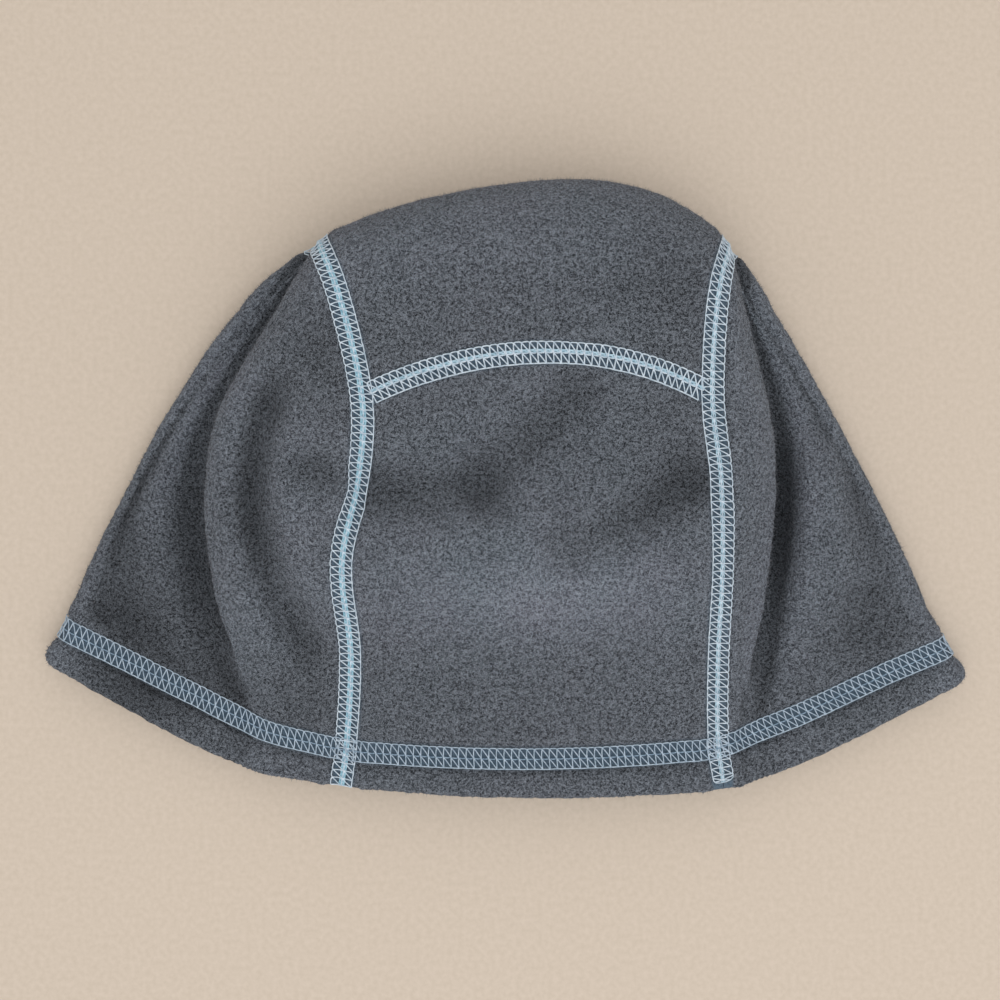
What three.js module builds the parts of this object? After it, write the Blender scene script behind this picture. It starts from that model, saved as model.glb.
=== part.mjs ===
// A fleece beanie lying flat on its back, hem towards -Y and crown towards +Y.
// Four sewn panels make one hollow pouch: a front panel, a crown panel that runs
// over the crown and down the back, and two side panels that are folded at the sides.
// The origin is on the flat underside, +Z is up and all sizes are in millimetres.

import * as THREE from 'three';

// Cloth
const fleeceThickness = 2.2;      // one layer of fleece
const hemThickness = 4;           // the turned-up hem, two layers pressed together
const seamClearance = 0.4;        // clear space between two panels along a seam

// Hem
const hemTopStation = 1;          // the turned-up cloth ends at this station
const hemFadeStations = 0.12;     // the wall thins to one layer over this stretch
const backHemInset = 2.5;         // the back hem lies this far inside the front hem
const backHemFadeStations = 1.5;

// The roll of cloth that hangs over each side flap
const rollWidth = 8;              // from the lip in to the top of the roll
const rollShare = 0.45;           // most of the way from lip to seam that this takes up
const plainReach = 4;             // the valley lies this far outside the lip of a plain slope
const valleyReach = { L: 5, R: 3.5 };   // and this far outside a lip that hangs over
const crestReach = { L: 16, R: 10 };    // beyond the valley the flap swells up to a crest
const valleyShare = 0.3;          // most of the way from lip to flap that the valley takes up
const crestShare = 0.65;          // and most of it that the crest takes up
const lipLevel = 0.62;            // height of the lip between valley and roll
const tuckLevel = 0.28;           // height of the tuck between valley and roll
const guideShare = 0.12;          // the guide point lies this share of the strip past the seam
const slopeReach = 2;             // half width of the plain slope where nothing hangs over
const plainRise = 5;              // nothing hangs over where the roll rises less than this
const fullRise = 14;              // and the overhang is complete where it rises this much

// The crown
const shoulderStation = 6;        // the surface rolls over from here to the crown edge
const crownStation = 7;
const crownEdgeHeight = 17;       // height of the crown's outermost line
const cornerFullness = 1.7;       // the crown's corners bulge this far past a straight line
const foldShare = 0.6;            // most of a side's width that its folded edge takes up
const foldFade = [6.2, 6.9];      // between these stations the overhanging roll opens
const tipTurn = 66;               // the side panels end this many degrees over the roll
const tipThickness = 1.6;         // and thin to this towards their tips
const thinningTurn = 45;

// A table has a row for each section and a number in it for each of the names
function table(names, rows) {
  const named = (row) => Object.fromEntries(names.map((name, index) => [name, row[index]]));
  return Object.values(rows).map(named);
}

// Where each section crosses the feature lines, seen from above
const featureLines = ['edgeL', 'lipL', 'seamL', 'middle', 'seamR', 'lipR', 'edgeR'];
const acrossTable = table(featureLines, {
  'hem edge': [-135.8, -74.9, -46.4, 8.7, 65.7, 74.7, 139.1],
  stitching: [-130.3, -71.9, -44.7, 8.7, 63.6, 72.9, 133.0],
  low: [-127.5, -80.1, -43.2, 8.6, 63.1, 75.4, 128.1],
  bulge: [-122.8, -84.4, -45.0, 8.4, 63.3, 78.6, 122.2],
  dents: [-113.2, -85.4, -40.1, 8.4, 62.5, 80.0, 111.4],
  'arch seam': [-98.7, -80.1, -38.6, 8.3, 59.4, 77.7, 98.7],
  shoulder: [-77.9, -62.0, -45.1, 12.3, 60.7, 69.7, 81.5],
  crown: [-52.6, -52.6, -52.6, 24.7, 65.9, 65.9, 65.9],
});
const alongTable = table(featureLines, {
  'hem edge': [-47.8, -79.5, -83.8, -87.3, -85.2, -84.1, -53.3],
  stitching: [-37.1, -64.0, -70.1, -72.5, -69.5, -66.5, -41.8],
  low: [-29.9, -42.4, -44.6, -43.4, -44.6, -45.3, -32.3],
  bulge: [-18.6, -19.7, -18.4, -14.6, -19.0, -19.4, -18.6],
  dents: [0.9, 4.3, 5.6, 14.0, 5.6, 4.3, 3.6],
  'arch seam': [27.5, 27.6, 28.5, 41.0, 29.0, 25.2, 27.5],
  shoulder: [56.5, 57.4, 58.1, 67.0, 57.9, 55.9, 56.5],
  crown: [75.4, 75.4, 75.4, 92.9, 74.6, 74.6, 74.6],
});

// Heights of the outer surface, from the left flap over the middle to the right one
const levels = [
  'flapL', 'crestL', 'valleyL', 'rollL', 'seamL', 'middle', 'seamR', 'rollR', 'valleyR', 'crestR', 'flapR',
];
const heightTable = table(levels, {
  'hem edge': [10, 10, 10, 12, 14, 15, 14, 12, 10, 10, 10],
  stitching: [9.6, 9.6, 9.6, 13, 15, 16, 15, 13, 9.6, 9.6, 9.6],
  low: [7.5, 9, 7.5, 16, 19, 21, 19, 16, 6.5, 10.5, 8],
  bulge: [7.5, 11, 6.5, 23, 26, 31, 26, 22, 5.5, 15, 8.5],
  dents: [7.5, 11.5, 6.5, 27, 28, 28, 28, 26, 5.5, 16, 8.5],
  'arch seam': [8.5, 9.5, 8, 30, 32, 34, 32, 30, 7.5, 10.5, 9],
  shoulder: [12, 12, 12, 33, 36, 39, 36, 33, 12, 12, 12],
});

// How far each row between the seams leans to the right, how square its arch is,
// and how far the cloth beside it is tucked back under the lips
const rowTable = table(['lean', 'power', 'overhang'], {
  'hem edge': [0, 2, 0],
  stitching: [0, 2, 0],
  low: [0, 2, 3.5],
  bulge: [0, 2, 5],
  dents: [0.1, 2, 5],
  'arch seam': [0.2, 2, 4.2],
  shoulder: [0.5, 2, 2],
  crown: [0.85, 1.9, 0],
});

// Dents and folds pressed into the upper layer. Each follows a bent route seen from above.
const foldTable = [
  { name: 'left crease', from: [-57, 41], via: [-89, 2], to: [-48, -54], width: 4.5, rise: -7 },
  { name: 'left panel dent', from: [-61, 13], via: [-53, 9], to: [-44, 3], width: 4.5, rise: -3 },
  { name: 'left front dent', from: [-42, 5], via: [-22, 2], to: [-7, 7], width: 6, rise: -5.5 },
  { name: 'slanting dent', from: [-3, 9], via: [8, 22], to: [24, 35], width: 6, rise: -4.5 },
  { name: 'right front dent', from: [25, -12], via: [40, -7], to: [60, 8], width: 5.5, rise: -5 },
  { name: 'right flap ridge', from: [96, 22], via: [99, 0], to: [102, -30], width: 5, rise: 1.4 },
  { name: 'right flap hollow', from: [107, -22], via: [107, -36], to: [100, -48], width: 6, rise: -1 },
];

// Fineness of the mesh
const stationsUsed = [
  0, 0.5, 1, 1.12, 1.5, 2, 2.5, 3, 3.35, 3.7, 4, 4.3, 4.65, 5, 5.33, 5.67, 6,
];
const rollOverSteps = 5;          // rows from the shoulder to the tips of the side panels
const crownSteps = 3;             // rows from there to the crown edge
const middleColumns = 14;
const sideColumns = {
  seamToRoll: 6, rollToLip: 3, lipToTuck: 3, tuckToValley: 2, valleyToCrest: 2, crestToFlap: 3,
  fold: 6, under: 5,
};
const routeSteps = 16;            // straight steps along a fold's route
const smallestWidth = 0.01;       // keeps a width of nothing from dividing by zero
const wallSmoothing = 4;          // times that the directions of the wall are evened out

// Colours of the cloth, a little lighter on the crown
const crownColour = '#5b5e65';
const frontColour = '#5a5e66';
const sideColour = '#4d5257';
const fleeceRoughness = 0.95;

const mix = (a, b, share) => a + (b - a) * share;
const clamp01 = (value) => Math.min(1, Math.max(0, value));
const smooth = (value) => {
  const v = clamp01(value);
  return v * v * (3 - 2 * v);
};

// Smooth curve through equally spaced values
function through(values, position) {
  const last = values.length - 1;
  const index = Math.min(last - 1, Math.max(0, Math.floor(position)));
  const local = position - index;
  const slope = (i) => {
    if (i === 0) return values[1] - values[0];
    if (i === last) return values[last] - values[last - 1];
    return (values[i + 1] - values[i - 1]) / 2;
  };
  const square = local * local;
  const cube = square * local;
  return (2 * cube - 3 * square + 1) * values[index]
    + (cube - 2 * square + local) * slope(index)
    + (3 * square - 2 * cube) * values[index + 1]
    + (cube - square) * slope(index + 1);
}

const column = (table, name, station) => through(table.map((row) => row[name]), station);

// Past the shoulder every height closes on the crown's outermost line as an ellipse does
function roundOver(height, station) {
  const share = clamp01((station - shoulderStation) / (crownStation - shoulderStation));
  return crownEdgeHeight + (height - crownEdgeHeight) * Math.sqrt(1 - share * share);
}
function heightOf(name, station) {
  const below = column(heightTable, name, Math.min(station, shoulderStation));
  return roundOver(below, station);
}
const undersideHeight = (station) => roundOver(0, station);

// Where the folded edge lies, fuller than the stations say at the crown's corners
function edgeColumn(table, letter, station) {
  const share = clamp01(station - shoulderStation);
  const way = letter === 'L' && table === acrossTable ? -1 : 1;
  const fullness = cornerFullness * Math.SQRT1_2 * 4 * share * (1 - share);
  return column(table, `edge${letter}`, station) + way * fullness;
}

// How high a point between the two seams stands above the straight line that joins them
function archShare(across, station) {
  const lean = column(rowTable, 'lean', station);
  const leaned = across - lean * across * across * (1 - across);
  return 1 - Math.abs(2 * leaned - 1) ** column(rowTable, 'power', station);
}

function middlePoint(across, station, onBack) {
  const share = archShare(across, station);
  const x = mix(column(acrossTable, 'seamL', station), column(acrossTable, 'seamR', station), across);
  const ends = mix(column(alongTable, 'seamL', station), column(alongTable, 'seamR', station), across);
  const centre = (column(alongTable, 'seamL', station) + column(alongTable, 'seamR', station)) / 2;
  const y = ends + (column(alongTable, 'middle', station) - centre) * share;
  if (onBack) return new THREE.Vector3(x, y + hemShift(station), undersideHeight(station));
  const sides = mix(heightOf('seamL', station), heightOf('seamR', station), across);
  const mean = (heightOf('seamL', station) + heightOf('seamR', station)) / 2;
  const z = sides + (heightOf('middle', station) - mean) * share;
  return new THREE.Vector3(x, y, z + foldHeight(x, y, station));
}

const hemShift = (station) => backHemInset * (1 - smooth(station / backHemFadeStations));

function routePoint(fold, step) {
  const s = step / routeSteps;
  const [from, via, to] = [fold.from, fold.via, fold.to].map(([x, y]) => new THREE.Vector3(x, y, 0));
  return from.lerp(via, s).lerp(via.lerp(to, s), s);
}
const foldRoutes = foldTable.map((fold) => {
  const lines = [];
  for (let step = 0; step < routeSteps; step += 1) {
    lines.push(new THREE.Line3(routePoint(fold, step), routePoint(fold, step + 1)));
  }
  return lines;
});

// Sum of the dents and folds at a place, which fade out over the roll of the crown
function foldHeight(x, y, station) {
  const fade = 1 - smooth(station - shoulderStation);
  const here = new THREE.Vector3(x, y, 0);
  const found = new THREE.Vector3();
  let sum = 0;
  foldTable.forEach((fold, index) => {
    const distanceTo = (line) => line.closestPointToPoint(here, true, found).distanceTo(here);
    const distances = foldRoutes[index].map(distanceTo);
    sum += fold.rise * Math.exp(-((Math.min(...distances) / fold.width) ** 2));
  });
  return sum * fade;
}

// The side of a section, from the front seam over the roll, the lip, the tuck, the valley,
// the crest and the flap to the folded edge, then flat under the hat to the back seam
function sideRow(side, station) {
  const letter = side < 0 ? 'L' : 'R';
  const seamX = column(acrossTable, `seam${letter}`, station);
  const lipX = column(acrossTable, `lip${letter}`, station);
  const edgeX = edgeColumn(acrossTable, letter, station);
  const seamZ = heightOf(`seam${letter}`, station);
  const rollZ = heightOf(`roll${letter}`, station);
  const valleyZ = heightOf(`valley${letter}`, station);
  const crestZ = heightOf(`crest${letter}`, station);
  const flapZ = heightOf(`flap${letter}`, station);
  const floorZ = undersideHeight(station);
  const grown = smooth((rollZ - valleyZ - plainRise) / (fullRise - plainRise));
  const foldRadius = (flapZ - floorZ) / 2;
  const foldWidth = Math.min(foldRadius, foldShare * Math.abs(edgeX - seamX));
  const flapX = edgeX - side * foldWidth;
  const lipToSeam = Math.abs(lipX - seamX);
  const inward = Math.min(rollWidth, rollShare * lipToSeam);
  const lipToFlap = Math.abs(flapX - lipX);
  const valleyOut = Math.min(mix(plainReach, valleyReach[letter], grown), valleyShare * lipToFlap);
  const crestOut = Math.min(crestReach[letter], crestShare * lipToFlap);
  const overhang = column(rowTable, 'overhang', station);
  const rest = side < 0 ? 0 : 1;
  const guide = middlePoint(Math.abs(rest - guideShare), station, false);
  const anchors = [
    [guide.x, guide.z],
    [seamX, seamZ],
    [lipX - side * inward, rollZ],
    [lipX - side * slopeReach * (1 - grown), mix(valleyZ, rollZ, lipLevel)],
    [lipX + side * mix(slopeReach / 2, -overhang, grown), mix(valleyZ, rollZ, tuckLevel)],
    [lipX + side * valleyOut, valleyZ],
    [lipX + side * crestOut, crestZ],
    [flapX, flapZ],
    [edgeX, flapZ],
  ].map(([x, z]) => new THREE.Vector3(x, 0, z));
  const counts = [
    sideColumns.seamToRoll, sideColumns.rollToLip, sideColumns.lipToTuck,
    sideColumns.tuckToValley, sideColumns.valleyToCrest, sideColumns.crestToFlap,
  ];
  const outline = [];
  for (let part = 0; part < counts.length; part += 1) {
    const curve = new THREE.CatmullRomCurve3(anchors.slice(part, part + 4), false, 'centripetal');
    for (let step = 0; step < counts[part]; step += 1) {
      outline.push(curve.getPoint((1 + step / counts[part]) / 3));
    }
  }
  outline.push(new THREE.Vector3(flapX, 0, flapZ));
  for (let step = 1; step <= sideColumns.fold; step += 1) {
    const turn = (Math.PI * step) / sideColumns.fold;
    const x = flapX + side * foldWidth * Math.sin(turn);
    outline.push(new THREE.Vector3(x, 0, floorZ + foldRadius * (1 + Math.cos(turn))));
  }
  for (let step = 1; step <= sideColumns.under; step += 1) {
    outline.push(new THREE.Vector3(mix(flapX, seamX, step / sideColumns.under), 0, floorZ));
  }
  return openedNearCrown(outline, side, station, { seamX, edgeX, seamZ, floorZ });
}

// Near the crown the overhanging roll opens into a plain half-ellipse from seam to seam.
// This also gives each point its place along the hat.
function openedNearCrown(outline, side, station, ends) {
  const opened = smooth((station - foldFade[0]) / (foldFade[1] - foldFade[0]));
  const half = (ends.seamZ - ends.floorZ) / 2;
  const last = outline.length - 1;
  const foldStart = last - sideColumns.under - sideColumns.fold;
  return outline.map((point, index) => {
    const turn = (Math.PI * index) / last;
    const x = mix(point.x, ends.seamX + (ends.edgeX - ends.seamX) * Math.sin(turn), opened);
    const z = mix(point.z, ends.floorZ + half * (1 + Math.cos(turn)), opened);
    const y = sideAlong(side, x, station);
    const under = smooth((index - foldStart) / sideColumns.fold);
    const lifted = z + (1 - under) * foldHeight(x, y, station);
    return new THREE.Vector3(x, y + under * hemShift(station), lifted);
  });
}

// Place along the hat of a point of a side row: a smooth curve through seam, lip and edge
function sideAlong(side, x, station) {
  const letter = side < 0 ? 'L' : 'R';
  const [x0, x1] = ['seam', 'lip'].map((name) => column(acrossTable, name + letter, station));
  const [y0, y1] = ['seam', 'lip'].map((name) => column(alongTable, name + letter, station));
  const [x2, y2] = [acrossTable, alongTable].map((table) => edgeColumn(table, letter, station));
  const innerWidth = side * Math.max(side * (x1 - x0), smallestWidth);
  const outerWidth = side * Math.max(side * (x2 - x1), smallestWidth);
  const turn = ((y2 - y1) / outerWidth - (y1 - y0) / innerWidth) / 2;
  const t = clamp01((x - x0) / innerWidth);
  const u = clamp01((x - x1) / outerWidth);
  if (side * (x - x1) < 0) return mix(y0, y1, t) - innerWidth * turn * t * t * (1 - t);
  return mix(y1, y2, u) - outerWidth * turn * u * (1 - u) * (1 - u);
}

function middleRow(station, onBack) {
  const row = [];
  for (let step = 0; step <= middleColumns; step += 1) {
    row.push(middlePoint(step / middleColumns, station, onBack));
  }
  return row;
}

function wallAt(station) {
  return mix(hemThickness, fleeceThickness, smooth((station - hemTopStation) / hemFadeStations));
}

// One panel. Each row holds the points of the outer face, with one guide point before and
// one after them that lie on the neighbouring panels, so that both walls of a seam are parallel.
function panelGeometry(rows, guideAfter) {
  const columns = rows[0].points.length - 2;
  const outer = [];
  const inner = [];
  for (let r = 0; r < rows.length; r += 1) {
    const before = rows[Math.max(0, r - 1)].points;
    const after = r < rows.length - 1 ? rows[r + 1].points : guideAfter ?? rows[r].points;
    let normals = [];
    for (let c = 1; c <= columns; c += 1) {
      const acrossward = new THREE.Vector3().subVectors(rows[r].points[c + 1], rows[r].points[c - 1]);
      const alongward = new THREE.Vector3().subVectors(after[c], before[c]);
      normals.push(acrossward.cross(alongward).normalize());
    }
    for (let pass = 0; pass < wallSmoothing; pass += 1) normals = evened(normals);
    for (let c = 1; c <= columns; c += 1) {
      const here = rows[r].points[c];
      outer.push(here.clone());
      inner.push(here.clone().addScaledVector(normals[c - 1], -rows[r].wall));
    }
  }
  const grid = { outer, inner, columns, rows: rows.length };
  pullBackBorders(grid);
  return closedShell(grid);
}

// Turns each direction a little towards its neighbours, so that the inner face of a tight
// fold doesn't cross itself. The two at the seams stay, because the next panel shares them.
function evened(normals) {
  return normals.map((normal, index) => {
    if (index === 0 || index === normals.length - 1) return normal;
    const sum = normal.clone().add(normals[index - 1]).add(normals[index + 1]);
    return sum.normalize();
  });
}

// Moves the border points of a grid inwards by half the clearance of a seam
function pullBackBorders(grid) {
  const half = seamClearance / 2;
  for (const points of [grid.outer, grid.inner]) {
    const at = (r, c) => points[r * grid.columns + c];
    const pull = (border, next) => {
      const way = new THREE.Vector3().subVectors(next, border);
      border.addScaledVector(way.normalize(), half);
    };
    for (let r = 0; r < grid.rows; r += 1) {
      pull(at(r, 0), at(r, 1));
      pull(at(r, grid.columns - 1), at(r, grid.columns - 2));
    }
    for (let c = 0; c < grid.columns; c += 1) {
      pull(at(0, c), at(1, c));
      pull(at(grid.rows - 1, c), at(grid.rows - 2, c));
    }
  }
}

// Joins the outer face, the inner face and the four narrow rims into one closed body
function closedShell(grid) {
  const vertices = [...grid.outer, ...grid.inner];
  const innerStart = grid.outer.length;
  const faces = [];
  const quad = (a, b, c, d) => {
    const shortWay = vertices[a].distanceTo(vertices[c]) <= vertices[b].distanceTo(vertices[d]);
    if (shortWay) faces.push(a, b, c, a, c, d);
    else faces.push(a, b, d, b, c, d);
  };
  const at = (r, c) => r * grid.columns + c;
  for (let r = 0; r < grid.rows - 1; r += 1) {
    for (let c = 0; c < grid.columns - 1; c += 1) {
      const corners = [at(r, c), at(r, c + 1), at(r + 1, c + 1), at(r + 1, c)];
      quad(...corners);
      quad(...corners.map((index) => index + innerStart).reverse());
    }
  }
  const rim = [];
  for (let c = 0; c < grid.columns - 1; c += 1) rim.push(at(0, c));
  for (let r = 0; r < grid.rows - 1; r += 1) rim.push(at(r, grid.columns - 1));
  for (let c = grid.columns - 1; c > 0; c -= 1) rim.push(at(grid.rows - 1, c));
  for (let r = grid.rows - 1; r > 0; r -= 1) rim.push(at(r, 0));
  rim.forEach((here, index) => {
    const next = rim[(index + 1) % rim.length];
    quad(next, here, here + innerStart, next + innerStart);
  });
  const geometry = new THREE.BufferGeometry();
  const positions = vertices.flatMap((point) => [point.x, point.y, point.z]);
  geometry.setAttribute('position', new THREE.Float32BufferAttribute(positions, 3));
  geometry.setIndex(faces);
  return geometry;
}

// Rows past the shoulder follow the quarter turn over the crown
const turnedStation = (degrees) => {
  const share = Math.sin(THREE.MathUtils.degToRad(degrees));
  return mix(shoulderStation, crownStation, share);
};
const tipStation = turnedStation(tipTurn);
const rollOver = [];
for (let step = 1; step <= rollOverSteps; step += 1) {
  rollOver.push(turnedStation((tipTurn * step) / rollOverSteps));
}
const crownRows = [];
for (let step = 1; step < crownSteps; step += 1) {
  crownRows.push(turnedStation(mix(tipTurn, 90, step / crownSteps)));
}
const archStation = 5;
const lowStations = stationsUsed.filter((station) => station <= archStation);
const sideStations = [...stationsUsed, ...rollOver];
const backStations = [...sideStations, ...crownRows];
const highStations = backStations.filter((station) => station >= archStation);

// Past the tips of the side panels the crown panel reaches out to their last row.
// This finds the point of that row at the height of the crown panel's own row.
function tipBorder(side, station, onBack) {
  const height = onBack ? undersideHeight(station) : heightOf(side < 0 ? 'seamL' : 'seamR', station);
  const outline = sideRow(side, tipStation);
  if (onBack) outline.reverse();
  const beyond = (point) => (onBack ? point.z >= height : point.z <= height);
  const next = outline.findIndex((point, index) => index > 0 && beyond(point));
  const low = outline[next - 1];
  const high = outline[next];
  return low.clone().lerp(high, (height - low.z) / (high.z - low.z));
}

// A row of the middle strip, with guide points from the two side panels
function stripRow(station, onBack) {
  const row = middleRow(station, onBack);
  if (station > tipStation) {
    row[0] = tipBorder(-1, station, onBack);
    row[middleColumns] = tipBorder(1, station, onBack);
    const beforeFirst = row[0].clone().lerp(row[1], -1);
    const afterLast = row[middleColumns].clone().lerp(row[middleColumns - 1], -1);
    return { points: [beforeFirst, ...row, afterLast], wall: wallAt(station) };
  }
  const left = sideRow(-1, station);
  const right = sideRow(1, station);
  const pick = onBack ? left.length - 2 : 1;
  return { points: [left[pick], ...row, right[pick]], wall: wallAt(station) };
}

// A row of a side panel, from the front seam round to the back seam. The left one is
// reversed, so that the outer face of every panel is seen from the same side of its grid.
function sidePanelRow(side, station) {
  const front = middleRow(station, false);
  const back = middleRow(station, true);
  const near = side < 0 ? 1 : middleColumns - 1;
  const points = [front[near], ...sideRow(side, station), back[near]];
  const thinningStation = turnedStation(thinningTurn);
  const tipShare = smooth((station - thinningStation) / (tipStation - thinningStation));
  const wall = mix(wallAt(station), tipThickness, tipShare);
  return { points: side < 0 ? points.reverse() : points, wall };
}

function frontPanel() {
  const rows = lowStations.map((station) => stripRow(station, false));
  const next = stripRow(highStations[1], false).points;
  return panelGeometry(rows, next);
}

function crownPanel() {
  const front = highStations.map((station) => stripRow(station, false));
  const edge = stripRow(crownStation, false);
  const back = backStations.map((station) => stripRow(station, true)).reverse();
  return panelGeometry([...front, edge, ...back], null);
}

function sidePanel(side) {
  const rows = sideStations.map((station) => sidePanelRow(side, station));
  return panelGeometry(rows, sidePanelRow(side, crownStation).points);
}

function panel(name, geometry, colour) {
  const material = new THREE.MeshStandardMaterial({
    color: colour, roughness: fleeceRoughness, metalness: 0,
  });
  const mesh = new THREE.Mesh(geometry, material);
  mesh.name = name;
  return mesh;
}

const beanie = new THREE.Group();
beanie.add(
  panel('front_panel', frontPanel(), frontColour),
  panel('crown_panel', crownPanel(), crownColour),
  panel('side_panel_left', sidePanel(-1), sideColour),
  panel('side_panel_right', sidePanel(1), sideColour),
);

export default beanie;
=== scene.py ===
# %% [markdown]
# # A fleece beanie that lies flat
# The real hat is sewn from four panels of brushed fleece. It lies on its back, so its two
# layers rest on each other with a soft hollow between them. This script dresses the packed
# model of the hat: it builds the cloth again with a finer surface, sews the seams and
# lights the result. We start with the frame, which holds the model's pieces and sizes.

# %% Load the frame
import math

import bpy
import numpy as np
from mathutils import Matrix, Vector


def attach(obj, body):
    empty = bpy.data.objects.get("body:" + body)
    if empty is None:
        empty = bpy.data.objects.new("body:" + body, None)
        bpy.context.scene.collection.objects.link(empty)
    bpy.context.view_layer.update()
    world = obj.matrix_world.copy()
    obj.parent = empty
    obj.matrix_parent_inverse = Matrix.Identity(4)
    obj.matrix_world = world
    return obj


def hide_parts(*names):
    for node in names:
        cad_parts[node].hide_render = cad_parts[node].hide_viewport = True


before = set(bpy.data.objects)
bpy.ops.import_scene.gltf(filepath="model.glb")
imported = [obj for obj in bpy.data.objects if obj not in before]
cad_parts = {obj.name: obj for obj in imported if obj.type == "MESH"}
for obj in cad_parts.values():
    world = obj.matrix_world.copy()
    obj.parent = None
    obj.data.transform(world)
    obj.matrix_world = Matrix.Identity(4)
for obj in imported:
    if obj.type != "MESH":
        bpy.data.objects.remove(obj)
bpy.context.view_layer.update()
scene = bpy.context.scene
print("packed pieces:", sorted(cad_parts))

# %% [markdown]
# ## Camera
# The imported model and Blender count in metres, and a hat maker thinks in millimetres, so
# sizes below are in millimetres and MM turns them into metres where something is made.
# The photograph looks straight down at the hat from a little over forty centimetres. From
# there a 50 mm lens takes in 302 mm of the table, so a pixel of the picture is 0.3 mm.

# %% Camera
MM = 0.001
CAMERA_HEIGHT = 420
LENS = 50
SENSOR_WIDTH = 36


def new_object(name, data):
    made = bpy.data.objects.new(name, data)
    scene.collection.objects.link(made)
    return made


camera = new_object("camera", bpy.data.cameras.new("camera"))
camera.data.lens = LENS
camera.data.sensor_width = SENSOR_WIDTH
camera.data.clip_start = 10 * MM
camera.location = (0, 0, CAMERA_HEIGHT * MM)
scene.camera = camera
print("the picture takes in", round(CAMERA_HEIGHT * SENSOR_WIDTH / LENS), "mm of the table")

# %% [markdown]
# ## The hat as a set of sections
# A soft shape is easiest to describe by sections, the way a boat is drawn. Eight stations
# run from the hem to the crown. At each station seven lines cross the hat: the folded edge,
# the lip of the roll and the seam on the left, the middle, and the same three on the right.
# One table says how far each line lies to the side, one how far along the hat, and one how
# high the cloth stands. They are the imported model's own sizes, so the fine cloth fits it.

# %% Tables of sections
LINES = ("edgeL", "lipL", "seamL", "middle", "seamR", "lipR", "edgeR")
ACROSS = {
    "hem edge": (-135.8, -74.9, -46.4, 8.7, 65.7, 74.7, 139.1),
    "stitching": (-130.3, -71.9, -44.7, 8.7, 63.6, 72.9, 133.0),
    "low": (-127.5, -80.1, -43.2, 8.6, 63.1, 75.4, 128.1),
    "bulge": (-122.8, -84.4, -45.0, 8.4, 63.3, 78.6, 122.2),
    "dents": (-113.2, -85.4, -40.1, 8.4, 62.5, 80.0, 111.4),
    "arch seam": (-98.7, -80.1, -38.6, 8.3, 59.4, 77.7, 98.7),
    "shoulder": (-77.9, -62.0, -45.1, 12.3, 60.7, 69.7, 81.5),
    "crown": (-52.6, -52.6, -52.6, 24.7, 65.9, 65.9, 65.9),
}
ALONG = {
    "hem edge": (-47.8, -79.5, -83.8, -87.3, -85.2, -84.1, -53.3),
    "stitching": (-37.1, -64.0, -70.1, -72.5, -69.5, -66.5, -41.8),
    "low": (-29.9, -42.4, -44.6, -43.4, -44.6, -45.3, -32.3),
    "bulge": (-18.6, -19.7, -18.4, -14.6, -19.0, -19.4, -18.6),
    "dents": (0.9, 4.3, 5.6, 14.0, 5.6, 4.3, 3.6),
    "arch seam": (27.5, 27.6, 28.5, 41.0, 29.0, 25.2, 27.5),
    "shoulder": (56.5, 57.4, 58.1, 67.0, 57.9, 55.9, 56.5),
    "crown": (75.4, 75.4, 75.4, 92.9, 74.6, 74.6, 74.6),
}
LEVELS = (
    "flapL", "crestL", "valleyL", "rollL", "seamL",
    "middle",
    "seamR", "rollR", "valleyR", "crestR", "flapR",
)
HEIGHT = {
    "hem edge": (10, 10, 10, 12, 14, 15, 14, 12, 10, 10, 10),
    "stitching": (9.6, 9.6, 9.6, 13, 15, 16, 15, 13, 9.6, 9.6, 9.6),
    "low": (7.5, 9, 7.5, 16, 19, 21, 19, 16, 6.5, 10.5, 8),
    "bulge": (7.5, 11, 6.5, 23, 26, 31, 26, 22, 5.5, 15, 8.5),
    "dents": (7.5, 11.5, 6.5, 27, 28, 28, 28, 26, 5.5, 16, 8.5),
    "arch seam": (8.5, 9.5, 8, 30, 32, 34, 32, 30, 7.5, 10.5, 9),
    "shoulder": (12, 12, 12, 33, 36, 39, 36, 33, 12, 12, 12),
}
ROUNDING = ("lean", "power", "overhang")
ROW_SHAPE = {
    "hem edge": (0, 2, 0),
    "stitching": (0, 2, 0),
    "low": (0, 2, 3.5),
    "bulge": (0, 2, 5),
    "dents": (0.1, 2, 5),
    "arch seam": (0.2, 2, 4.2),
    "shoulder": (0.5, 2, 2),
    "crown": (0.85, 1.9, 0),
}
STITCHING, ARCH, SHOULDER, CROWN = 1, 5, 6, 7
CROWN_EDGE_HEIGHT = 17
CORNER_FULLNESS = 1.7
print("stations:", ", ".join(ACROSS))

# %% [markdown]
# ## Smooth lines through the stations
# Between two stations every number follows a cubic that passes through the values and leans
# the same way on both sides of each of them. Past the shoulder all heights close on the
# outermost line of the crown as an ellipse does. numpy works out a whole array of places at
# once, which keeps the script quick.

# %% Smooth lines through the stations
def mix(a, b, share):
    return a + (b - a) * share


def smooth(value):
    v = np.clip(value, 0, 1)
    return v * v * (3 - 2 * v)


def cubic_shares(t):
    return 2 * t**3 - 3 * t**2 + 1, t**3 - 2 * t**2 + t, 3 * t**2 - 2 * t**3, t**3 - t**2


def through(values, place):
    values = np.asarray(values, float)
    slopes = np.gradient(values)
    i = np.clip(np.floor(place).astype(int), 0, len(values) - 2)
    start, leave, end, arrive = cubic_shares(place - i)
    before = start * values[i] + leave * slopes[i]
    after = end * values[i + 1] + arrive * slopes[i + 1]
    return before + after


def column(table, names, name, station):
    return through([row[names.index(name)] for row in table.values()], station)


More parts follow.
